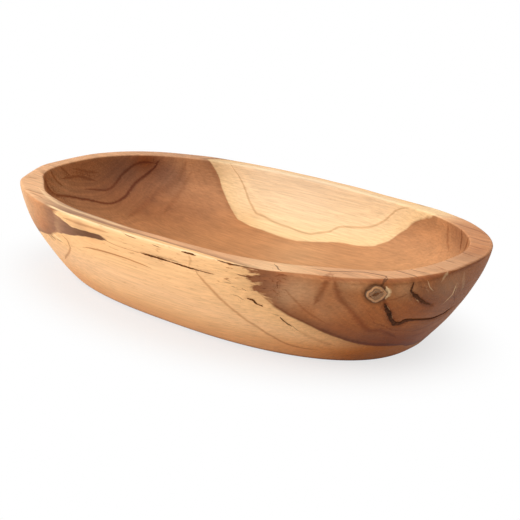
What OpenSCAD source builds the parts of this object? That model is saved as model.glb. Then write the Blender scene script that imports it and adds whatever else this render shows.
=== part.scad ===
// Hand-carved oval dough bowl with an encased knot, bark seams and stopped checks
// +X runs along the bowl, -Y is the front, +Z is up, and the origin is under the middle of the base

/* [Bowl] */
// Length over the rim, end to end
bowl_length = 350; // [260:5:440]
// Width over the rim, side to side
bowl_width = 180; // [130:5:240]
// Height from the table to the rim
bowl_height = 62; // [45:1:90]
// How far each end leans out past the flat base
end_flare = 37; // [20:1:55]
// How far each side leans out past the flat base
side_flare = 24.5; // [12:0.5:36]

/* [Form] */
// Squareness of the oval at the rim, where 2 is an ellipse
rim_squareness = 2.6; // [2:0.05:3.2]
// Squareness of the oval at the base
base_squareness = 2.45; // [2:0.05:3.2]
// Squareness of the oval of the hollow
hollow_squareness = 2.45; // [2:0.05:3]
// Roundness of the ends in side view, where 1 is straight
end_bulge = 1.46; // [1.1:0.02:2.4]
// Roundness of the long sides in end view, where 1 is straight
side_bulge = 2.56; // [1.4:0.02:3.4]
// Roundness of the hollow, where 2 is an ellipse
hollow_bulge = 2.6; // [2.1:0.05:3.2]

/* [Walls] */
// Rim width at the left end
rim_left = 11; // [8:0.5:18]
// Rim width at the right end
rim_right = 13.5; // [8:0.5:18]
// Rim width along the front side
rim_front = 11; // [7:0.5:16]
// Rim width along the back side
rim_back = 8.5; // [7:0.5:16]
// Wood left under the deepest part of the hollow
floor_thickness = 12; // [8:0.5:20]

/* [Edges] */
// Rounding of the outer rim edge
outer_edge = 1.2; // [0.6:0.1:2]
// Rounding of the inner rim edge
inner_edge = 1.4; // [0.6:0.1:2]
// Easing of the edge round the base
base_edge = 1.6; // [0.6:0.1:3]
// Depth of the worn bevel along the left half of the front rim
worn_drop = 2.4; // [1:0.1:3.5]
// Width of the worn bevel on top of the rim
worn_width = 3.2; // [1:0.1:4.5]

/* [Knot] */
// Diameter of the encased knot at the face of the wall
knot_diameter = 12; // [8:0.5:16]
// Diameter of the knot at its inner end
knot_root_diameter = 8; // [5:0.5:12]
// How deep the knot goes into the wall
knot_depth = 6; // [3:0.5:7]
// How far the face of the knot swells in its middle
knot_crown = 0.3; // [0.1:0.1:0.6]
// Wood left between the knot and the rim
knot_gap = 2.5; // [2:0.5:8]

/* [Seams and checks] */
// Half width of the bark seam that runs under the knot
under_seam_half_width = 1.6; // [0.8:0.1:2.4]
// Half width of the bark seam that comes down from the rim
rim_seam_half_width = 1.7; // [0.8:0.1:2.4]
// Half width of the stopping in the long check
long_check_half_width = 0.8; // [0.5:0.1:1.4]
// Half width of the stopping in the short checks
short_check_half_width = 0.7; // [0.5:0.1:1.4]
// Depth of the bark seams
seam_depth = 4; // [2:0.5:6]
// Depth of the stopped checks
check_depth = 3; // [1.5:0.5:5]
// Room left round each inlaid piece
inlay_clearance = 0.1; // [0.05:0.05:0.3]

/* [Hidden] */

// Points in each ring of the carved surface, and rings up the wall and down the hollow
points_round = 120;
wall_rings = 14;
hollow_rings = 13;
// Where the round of the hollow ends in the flat patch of the floor, as an angle of its profile
floor_angle = 78;
// Share of an edge's rounding that its middle ring keeps
round_share = 0.293;
// Plain wall left between the rim's edge and the top ring of the wall
wall_land = 1.5;
// Stretch of the front rim that carries the worn bevel, as angles round the bowl
worn_from = -150;
worn_to = -68;
worn_fade = 14;
// Small steps for measuring slopes on the wall, in degrees and in millimetres
angle_step = 0.05;
drop_step = 0.05;
// How far a cutter stands out of the wall
cutter_proud = 2;
// A seam narrows to this share of its width at its ends, over this share of its length, and at its root
end_share = 0.25;
end_length = 0.25;
root_share = 0.45;
// Steps in each leg of a seam's course
leg_steps = 4;
// Steps across the face of the knot
crown_steps = 4;
knot_angle = -32;

// Courses along the front wall: angle round the bowl from the right end, and drop as a share of a height.
// The drop starts at the rim, under the worn bevel, or under the knot
under_knot = knot_gap + knot_diameter;
function dropped_course(start, height, points) = [for (p = points) [p[0], start + height * p[1]]];
under_seam_course = dropped_course(under_knot, bowl_height - under_knot, [
    [-27.4, 0.063],
    [-25, 0.204],
    [-20.5, 0.347],
    [-17, 0.309],
    [-12, 0.328],
    [-5, 0.394],
    [3, 0.373]
]);
rim_seam_course = dropped_course(0, bowl_height, [
    [-20.3, 0.052],
    [-20.6, 0.129],
    [-18, 0.181],
    [-15, 0.25],
    [-11, 0.315]
]);
long_check_course = dropped_course(0, bowl_height, [
    [-88.4, 0.16],
    [-84.6, 0.155],
    [-80, 0.155],
    [-74.8, 0.16]
]);
upper_check_course = dropped_course(worn_drop, bowl_height, [[-83.6, 0.029], [-81.4, 0.026], [-78.7, 0.029]]);
rim_check_course = dropped_course(worn_drop, bowl_height, [[-73.4, 0.015], [-70.6, 0.013], [-67.7, 0.016]]);
heart_check_course = dropped_course(0, bowl_height, [[-66, 0.31], [-64, 0.335], [-61.8, 0.381]]);
lower_check_course = dropped_course(0, bowl_height, [[-57, 0.465], [-55.2, 0.5], [-53.4, 0.545]]);

half_length = bowl_length / 2;
half_width = bowl_width / 2;
hollow_half_length = half_length - (rim_left + rim_right) / 2;
hollow_half_width = half_width - (rim_front + rim_back) / 2;
hollow_centre = [(rim_left - rim_right) / 2, (rim_front - rim_back) / 2];
wall_top = bowl_height - max(worn_drop, outer_edge) - wall_land;
wood_colour = "#c98f55";
bark_colour = "#3a2417";
stopping_colour = "#4a2e1c";

// Power of a number that keeps the number's sign
function signed_power(v, e) = sign(v) * pow(abs(v), e);

// Point on an oval with half sizes a and b: an ellipse whose corners fill out as the squareness grows
function oval(a, b, squareness, angle) = [
    a * signed_power(cos(angle), 2 / squareness),
    b * signed_power(sin(angle), 2 / squareness)
];

// Point on the outer wall at a height
function wall_point(angle, z) =
    let (
        share = z / bowl_height,
        a = half_length - end_flare * pow(1 - share, end_bulge),
        b = half_width - side_flare * pow(1 - share, side_bulge),
        squareness = base_squareness + (rim_squareness - base_squareness) * share,
        p = oval(a, b, squareness, angle)
    )
    [p.x, p.y, z];

// The same point by its drop below the rim
function dropped_point(angle, drop) = wall_point(angle, bowl_height - drop);

// Outward direction of the wall at a point
function wall_normal(angle, drop) =
    let (
        along = dropped_point(angle + angle_step, drop) - dropped_point(angle - angle_step, drop),
        upward = dropped_point(angle, drop - drop_step) - dropped_point(angle, drop + drop_step),
        n = cross(along, upward)
    )
    n / norm(n);

// How much of the worn bevel an angle has, from 0 to 1
function worn_share(angle) =
    let (
        rise = max(0, min(1, (angle - worn_from) / worn_fade)),
        fall = max(0, min(1, (worn_to - angle) / worn_fade)),
        s = min(rise, fall)
    )
    s * s * (3 - 2 * s);
function rim_drop(angle) = outer_edge + (worn_drop - outer_edge) * worn_share(angle);
function rim_inset(angle) = outer_edge + (worn_width - outer_edge) * worn_share(angle);

// Point on the round of the outer rim edge, by its shares of the edge's inset and drop
function rim_edge_point(angle, inset_part, drop_part) =
    let (
        z = bowl_height - rim_drop(angle) * drop_part,
        inset = rim_inset(angle) * inset_part,
        on_wall = wall_point(angle, z),
        on_rim = oval(half_length - inset, half_width - inset, rim_squareness, angle),
        p = inset_part > 0 ? on_rim : on_wall
    )
    [p.x, p.y, z];

// Point on the oval of the hollow, grown outwards by some millimetres, at a height
function hollow_point(angle, shrink, grow, z) =
    let (
        a = hollow_half_length * shrink + grow,
        b = hollow_half_width * shrink + grow,
        p = oval(a, b, hollow_squareness, angle)
    )
    [p.x + hollow_centre.x, p.y + hollow_centre.y, z];

// Ring of the hollow at an angle of its rounded profile, 0 at the rim and floor_angle at the flat patch
function hollow_ring(profile_angle) =
    let (
        shrink = pow(cos(profile_angle), 2 / hollow_bulge),
        fall = pow(sin(profile_angle), 2 / hollow_bulge) / pow(sin(floor_angle), 2 / hollow_bulge),
        start = bowl_height - inner_edge,
        z = start - (start - floor_thickness) * fall
    )
    [for (angle = ring_angles) hollow_point(angle, shrink, 0, z)];

ring_angles = [for (i = [0 : points_round - 1]) -180 + 360 * i / points_round];

// Rings from the base up the wall, over the rim and down the hollow to the floor
base_half_length = half_length - end_flare - base_edge;
base_half_width = half_width - side_flare - base_edge;
base_rings = [
    [
        for (angle = ring_angles)
            let (p = oval(base_half_length, base_half_width, base_squareness, angle))
            [p.x, p.y, 0]
    ]
];
outer_rings = [
    for (i = [0 : wall_rings - 1])
        let (low = base_edge / 2, z = low + (wall_top - low) * i / (wall_rings - 1))
        [for (angle = ring_angles) wall_point(angle, z)]
];
inner_round = inner_edge * round_share;
rim_rings = [
    [for (angle = ring_angles) rim_edge_point(angle, 0, 1)],
    [for (angle = ring_angles) rim_edge_point(angle, round_share, round_share)],
    [for (angle = ring_angles) rim_edge_point(angle, 1, 0)],
    [for (angle = ring_angles) hollow_point(angle, 1, inner_edge, bowl_height)],
    [for (angle = ring_angles) hollow_point(angle, 1, inner_round, bowl_height - inner_round)]
];
inner_rings = [for (i = [0 : hollow_rings]) hollow_ring(floor_angle * i / hollow_rings)];
carved_rings = concat(base_rings, outer_rings, rim_rings, inner_rings);

// Skin through rings of equal count, closed by a flat face at each end
module loft(rings) {
    count = len(rings[0]);
    last = len(rings) - 1;
    sides = [
        for (i = [0 : last - 1], j = [0 : count - 1])
            let (a = i * count + j, b = i * count + (j + 1) % count)
            each [[a, a + count, b + count], [a, b + count, b]]
    ];
    bottom = [[for (j = [0 : count - 1]) j]];
    top = [[for (j = [count - 1 : -1 : 0]) last * count + j]];
    polyhedron(points = [for (ring = rings) each ring], faces = concat(bottom, sides, top));
}

// The bowl before anything is let into it
module carved_blank() {
    loft(carved_rings);
}

// Points of a course, with each leg cut into steps
function fine_course(course) = [
    for (i = [0 : len(course) - 2], k = [0 : leg_steps - 1])
        let (part = k / leg_steps)
        course[i] * (1 - part) + course[i + 1] * part,
    course[len(course) - 1]
];

// Width share of a seam along its course: it narrows towards both ends
function taper(i, last) =
    let (near_end = min(i, last - i) / (last * end_length))
    end_share + (1 - end_share) * min(1, near_end);

// Section of a seam at one point of a fine course: a wedge that is wide at the face of the wall
function seam_section(course, i, half, depth, room, proud) =
    let (
        last = len(course) - 1,
        before = course[max(0, i - 1)],
        after = course[min(last, i + 1)],
        here = dropped_point(course[i][0], course[i][1]),
        ahead = dropped_point(after[0], after[1]) - dropped_point(before[0], before[1]),
        out = wall_normal(course[i][0], course[i][1]),
        aside = cross(out, ahead),
        across = aside / norm(aside),
        face_half = half * taper(i, last),
        root_half = face_half * root_share + room,
        mouth_half = face_half * (1 + (1 - root_share) * proud / depth) + room
    )
    [
        here + across * mouth_half + out * proud,
        here - across * mouth_half + out * proud,
        here - across * root_half - out * (depth + room),
        here + across * root_half - out * (depth + room)
    ];

// Wedge that follows a course along the wall, flush with it or standing out of it as a cutter
module seam_solid(course, half, depth, room, proud) {
    fine = fine_course(course);
    loft([for (i = [0 : len(fine) - 1]) seam_section(fine, i, half, depth, room, proud)]);
}

module seam_inlay(course, half, depth) {
    seam_solid(course, half, depth, 0, 0);
}

module seam_pocket(course, half, depth) {
    seam_solid(course, half, depth, inlay_clearance, cutter_proud);
}

// Puts a shape that points up +Z square on the wall where the knot is
module at_knot() {
    drop = knot_gap + knot_diameter / 2;
    out = wall_normal(knot_angle, drop);
    translate(dropped_point(knot_angle, drop))
        rotate([0, acos(out.z), atan2(out.y, out.x)])
            children();
}

// Tapered hole for the knot
module knot_pocket() {
    spread = (knot_diameter - knot_root_diameter) / knot_depth;
    at_knot()
        translate([0, 0, -knot_depth - inlay_clearance])
            cylinder(
                h = knot_depth + inlay_clearance + cutter_proud,
                d1 = knot_root_diameter + 2 * inlay_clearance,
                d2 = knot_diameter + spread * cutter_proud + 2 * inlay_clearance,
                $fn = 48
            );
}

module bowl_body() {
    color(wood_colour)
        difference() {
            carved_blank();
            knot_pocket();
            seam_pocket(under_seam_course, under_seam_half_width, seam_depth);
            seam_pocket(rim_seam_course, rim_seam_half_width, seam_depth);
            seam_pocket(long_check_course, long_check_half_width, check_depth);
            seam_pocket(upper_check_course, short_check_half_width, check_depth);
            seam_pocket(rim_check_course, short_check_half_width, check_depth);
            seam_pocket(heart_check_course, short_check_half_width, check_depth);
            seam_pocket(lower_check_course, short_check_half_width, check_depth);
        }
}

// The knot: a tapered plug whose face swells a little
module knot() {
    face_radius = knot_diameter / 2;
    crown = [
        for (i = [0 : crown_steps])
            let (part = i / crown_steps)
            [face_radius * (1 - part), knot_crown * (1 - (1 - part) * (1 - part)) - knot_crown]
    ];
    color("#a87a4c")
        at_knot()
            rotate_extrude($fn = 48)
                polygon(concat([[0, -knot_depth], [knot_root_diameter / 2, -knot_depth]], crown));
}

module under_knot_seam() {
    color(bark_colour) seam_inlay(under_seam_course, under_seam_half_width, seam_depth);
}

module rim_seam() {
    color(bark_colour) seam_inlay(rim_seam_course, rim_seam_half_width, seam_depth);
}

module long_check_stop() {
    color(stopping_colour) seam_inlay(long_check_course, long_check_half_width, check_depth);
}

module upper_check_stop() {
    color(stopping_colour) seam_inlay(upper_check_course, short_check_half_width, check_depth);
}

module rim_check_stop() {
    color(stopping_colour) seam_inlay(rim_check_course, short_check_half_width, check_depth);
}

module heart_check_stop() {
    color(stopping_colour) seam_inlay(heart_check_course, short_check_half_width, check_depth);
}

module lower_check_stop() {
    color(stopping_colour) seam_inlay(lower_check_course, short_check_half_width, check_depth);
}

bowl_body();
knot();
under_knot_seam();
rim_seam();
long_check_stop();
upper_check_stop();
rim_check_stop();
heart_check_stop();
lower_check_stop();
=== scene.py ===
"""Dresses the carved dough bowl: its figured wood, the knot, the bark seams and the stopped checks, on a pale stage."""

import bpy
import numpy as np
from mathutils import Matrix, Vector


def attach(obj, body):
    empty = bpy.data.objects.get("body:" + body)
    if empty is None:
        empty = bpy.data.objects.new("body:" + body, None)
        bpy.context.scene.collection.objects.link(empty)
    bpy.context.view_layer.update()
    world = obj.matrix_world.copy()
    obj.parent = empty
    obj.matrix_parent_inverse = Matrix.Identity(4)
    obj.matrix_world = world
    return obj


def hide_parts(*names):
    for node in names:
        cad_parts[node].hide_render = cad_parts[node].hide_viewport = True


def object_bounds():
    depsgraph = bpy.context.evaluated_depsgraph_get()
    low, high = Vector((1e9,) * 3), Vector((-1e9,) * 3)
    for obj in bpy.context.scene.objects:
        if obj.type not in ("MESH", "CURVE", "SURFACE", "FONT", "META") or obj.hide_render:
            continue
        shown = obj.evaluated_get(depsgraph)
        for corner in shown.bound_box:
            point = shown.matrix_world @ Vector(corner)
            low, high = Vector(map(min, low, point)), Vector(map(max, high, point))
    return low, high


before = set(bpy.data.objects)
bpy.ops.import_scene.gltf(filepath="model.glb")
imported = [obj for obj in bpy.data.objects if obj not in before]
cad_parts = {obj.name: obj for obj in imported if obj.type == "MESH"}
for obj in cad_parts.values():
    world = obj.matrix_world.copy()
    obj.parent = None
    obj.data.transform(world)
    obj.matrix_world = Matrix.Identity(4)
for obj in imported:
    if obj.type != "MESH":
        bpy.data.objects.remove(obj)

bl_info = {
    "name": "Carved dough bowl",
    "version": (1, 0, 0),
    "blender": (4, 5, 0),
    "location": "View3D > Sidebar > Dough bowl",
    "description": "Builds a hand-carved oval dough bowl of figured teak around its CAD frame",
    "category": "Object",
}

CAD_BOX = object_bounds()
MM = 0.001

# Squareness of the ovals, where 2 is an ellipse: the wall at its base, what it gains up to the rim, and the hollow
WALL_SQUARENESS, SQUARENESS_GAIN, HOLLOW_SQUARENESS = 2.45, 0.15, 2.45
# How fast the flare of the ends and of the sides runs out up the wall, as a power
END_BULGE, SIDE_BULGE = 1.46, 2.56
# Profile of the hollow: its squareness, and the angle in degrees at which the flat floor cuts it
PROFILE_SQUARENESS, FLOOR_CUT = 2.6, 78
# Rounds of the base's edge and of the rim's outer and inner edge, in millimetres
BASE_EDGE, OUTER_EDGE, INNER_EDGE = 1.6, 1.2, 1.4
# Where the rim's outer edge is worn to a bevel, rubbed and knocked: first and last angle, and the ease, in degrees
WORN_EDGE, RUBBED_EDGE, KNOCKED_EDGE = (-150, -68, 14), (-62, -2, 14), (-174, -146, 12)
# What rubbing and the knock add to the inset and to the drop of that edge's round, in millimetres
RUBBED_SIZE, KNOCKED_SIZE = (3.8, 1.3), (4.8, 1.8)
# The lower right end, left fuller than the left one: height, reach and most, in millimetres
FULL_END = (17, 15, 0.7)
# How far the rim sank as the wood dried, away from its right end and more along the back, in millimetres
RIM_SAG, BACK_SAG = 0.7, 0.8
# A flatter place low in the front left wall: angle and reach in degrees, height, reach and depth in millimetres
FLAT_PLACE = (-122, 15, 22, 13, 1.9)
# Places where the carver left the rim thicker on its inner side: (angle in degrees, reach in degrees, millimetres)
THICK_PLACES = [(-146, 11, 3.4), (-78, 30, 1.2), (-41, 13, 4), (-8, 16, 1.6)]
# How far below the rim these places run out, in millimetres
THICK_DOWN = 30
# Up to which share a row counts as the outer wall, and from which as the hollow
WALL_SHARE, HOLLOW_SHARE = 0.02, 0.98
# The log: its pith across the bowl and up, the radius of its heartwood, and how far the rings are drawn out in front
PITH_Y, PITH_Z, HEART_RADIUS, RING_STRETCH = 12, 78, 74, 0.37
# Height of the rings' own centre in the hollow's back wall, in millimetres
BACK_PITH_Z = 40
# Where the front of the hollow would be less deep in the heartwood than this, the depth turns back by a share
LEAST_DEPTH, TURNED_BACK = 6, 0.6

# Courses on the front wall: angle round the bowl from the right end in degrees, and drop below the rim in millimetres
UNDER_SEAM_COURSE = [
    (-28.3, 15), (-27, 18), (-25.4, 21.5), (-23.6, 26.4), (-20.8, 31), (-18.6, 30.8), (-17.2, 29),
    (-12.4, 30.3), (-4, 34.2), (0.4, 34.4), (2.6, 31.4),
]
RIM_SEAM_COURSE = [(-20.4, 2), (-20.6, 8), (-18.8, 10.8), (-15, 15.5), (-13.2, 17.8), (-9.4, 20.8)]
CHECK_COURSES = {
    "long_check_stop": [(-89.6, 9.6), (-86.6, 9.3), (-83.6, 9.4), (-80.1, 9.8), (-76.6, 9.9), (-74.4, 9.8)],
    "upper_check_stop": [(-82.2, 0.9), (-80.6, 0.9), (-79, 1.1)],
    "rim_check_stop": [(-74.4, 0.4), (-72, 0.8), (-71.1, 1.1), (-68.9, 0.9), (-66.6, 1)],
    "heart_check_stop": [(-66, 20.6), (-64.2, 21.2), (-63.7, 22.8), (-62.8, 23.4), (-61.6, 24)],
    "lower_check_stop": [(-56.8, 29.6), (-55.7, 31.8), (-54.4, 33.8), (-52.8, 35.2)],
}
# Half width of each strip along its course: (share of the way, millimetres)
STRIP_WIDTHS = {
    "under_knot_seam": [(0, 0.7), (0.08, 1.2), (0.2, 1), (0.3, 1.5), (0.38, 1.2), (0.46, 0.5), (0.7, 0.36), (1, 0.2)],
    "rim_seam": [(0, 0.3), (0.28, 0.45), (0.4, 1.1), (0.55, 0.9), (0.68, 1.3), (0.78, 0.5), (1, 0.2)],
    "long_check_stop": [
        (0, 0.2), (0.12, 0.55), (0.3, 0.5), (0.42, 0.24), (0.58, 0.5), (0.68, 0.45), (0.8, 0.22), (1, 0.15),
    ],
    "upper_check_stop": [(0, 0.2), (0.4, 0.5), (0.8, 0.4), (1, 0.15)],
    "rim_check_stop": [(0, 0.15), (0.3, 0.3), (0.45, 0.45), (0.7, 0.25), (1, 0.15)],
    "heart_check_stop": [(0, 0.3), (0.35, 0.5), (0.6, 0.45), (0.75, 0.2), (0.9, 0.4), (1, 0.2)],
    "lower_check_stop": [(0, 0.15), (0.3, 0.36), (0.6, 0.3), (1, 0.12)],
}
# The knot: angle in degrees, drop below the rim, and radius, width and depth of the trough round it, in millimetres
KNOT_ANGLE, KNOT_DROP = -32, 8.5
KNOT_TROUGH = (6.1, 0.9, 0.55)
# Depth and width of the troughs along the two seams and along the checks, in millimetres
UNDER_SEAM_TROUGH, RIM_SEAM_TROUGH, CHECK_TROUGH = (0.7, 1.7), (0.7, 1.8), (0.45, 1.2)

# Where the heartwood ends on the front wall, right and left of the middle: (height, place along) in millimetres
HEART_EDGE_RIGHT = [
    (0, 150), (9.9, 145.8), (14, 140.3), (17.5, 133), (19.4, 130.3), (21.6, 127.2), (26.8, 119.4), (30.9, 112),
    (35.2, 104.9), (38.2, 101), (41.1, 98.2), (45.1, 94.8), (46.9, 90.6), (48.1, 85.6), (50.2, 88), (52.7, 90.9),
    (54.1, 86.9), (55.4, 80.5), (56.5, 84.9), (58.2, 88.9), (59.5, 86.4), (62, 83),
]
HEART_EDGE_LEFT = [
    (0, -154), (9.4, -148.4), (20.6, -141.8), (30.5, -125.4), (36, -115), (38.3, -102.8), (40.7, -93.3),
    (43.6, -85.6), (47.6, -80.7), (54.5, -78.8), (62, -83),
]
# Radius of the heartwood behind the hollow's back wall: (place along the bowl, radius) in millimetres
HEART_REACH_BACK = [
    (-97.6, 65.1), (-92, 64), (-86.6, 62.4), (-83, 61), (-78, 59.6), (-72, 57.8), (-63.4, 55.4), (-58, 53.9), (-45, 53),
    (-22, 53.3), (-1, 53.2), (9, 54.5), (20, 56), (31, 57.1), (51, 57.7), (60, 58.2), (71, 60), (76, 61.3), (84, 62.3),
    (94, 62.3), (99, 61.3), (104, 58.1), (112, 52),
]
# Upper and lower edge of the dark streak in the left of the front wall: (place along the bowl, height) in millimetres
STREAK_TOP = [
    (-96, 62.4), (-88, 61), (-79.9, 58.6), (-75.4, 57.3), (-68.9, 55.9), (-63.4, 54.4), (-56.3, 54.4),
    (-47.2, 55.1), (-38.3, 55.5), (-33, 55.2), (-29, 54.5), (-26, 53.8),
]
STREAK_BOTTOM = [
    (-112, 37), (-90.1, 42.1), (-83.4, 44.6), (-75.5, 46.1), (-65.9, 47.5), (-54.9, 49.8), (-44.9, 51.2),
    (-36, 52.2), (-31, 52.7), (-26, 53.6),
]

# Thin lines in the wood, as (surface, half width in millimetres, strength, course), and among them a painted shadow
# line under the rim's outer edge and a painted highlight along its inner lip. On the wall and in the hollow a course is
# angle in degrees and drop in millimetres, and on top of the rim it is a place in millimetres. Lines that run close
# beside each other have opposite courses, so that their signed distances agree between them
DARK_LINES = [
    ("wall", 0.6, 0.9, [(-29.5, 0.1), (-30.3, 0.6), (-31, 2.9), (-31, 4)]),
    ("wall", 0.3, 0.8, [(-91.5, 0.7), (-90.8, 1.1), (-90, 1.2)]),
    ("wall", 0.3, 0.7, [(-87.8, 1.8), (-86.4, 2.2)]),
    ("wall", 0.35, 0.85, [(-65.7, 6.9), (-67.7, 6.7), (-69.1, 6.4)]),
    ("wall", 0.25, 0.6, [(-71.7, 11), (-70.9, 11.4)]),
    ("wall", 0.25, 0.6, [(-70.1, 13), (-71.7, 13.3)]),
    ("wall", 0.25, 0.7, [(-69.9, 15), (-69, 14.9)]),
    ("wall", 0.25, 0.7, [(-67.3, 15.1), (-66.5, 15.4)]),
    ("wall", 0.25, 0.6, [(-69.7, 20.2), (-68, 20.4), (-67.6, 21.3), (-66.6, 22.3)]),
    ("wall", 0.25, 0.6, [(-58.8, 28.2), (-57, 28.6)]),
    ("wall", 0.25, 0.6, [(-53, 34.8), (-52.4, 35.8), (-51, 37.6)]),
    ("wall", 0.25, 0.6, [(-87.3, 8.3), (-84.3, 8.1), (-82.2, 8.2)]),
    ("rim", 0.4, 0.9, [
        (112.3, -64.3), (124.9, -60.8), (131.7, -55.3), (139.9, -49.4), (146.7, -47.8), (152.6, -47), (155.2, -49.4),
        (156.3, -52)]),
    ("rim", 0.4, 0.8, [(94.7, -72.2), (98.7, -74.6), (101.6, -77.3), (104.6, -78.2)]),
    ("rim", 0.4, 0.8, [(146.5, -36), (152.9, -35.2), (161.5, -35.2), (165.2, -35.8)]),
    ("rim", 0.35, 0.6, [(154.3, -28.3), (158.8, -28.2), (166, -27.3)]),
    ("rim", 0.35, 0.7, [(157.9, -2.1), (161.8, -2.3), (167.8, -2.5)]),
    ("rim", 0.35, 0.7, [(158.2, 16.7), (162.7, 15.8), (168.6, 14.7)]),
    ("wall", 0.5, 0.6, [(-117.9, 21.6), (-115.9, 23.7)]),
    ("wall", 0.45, 0.55, [(-112.2, 23.2), (-114.9, 22.4)]),
    ("wall", 0.5, 0.55, [(-120.4, 22.4), (-118.9, 23.4), (-117.9, 25.4)]),
]
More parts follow.
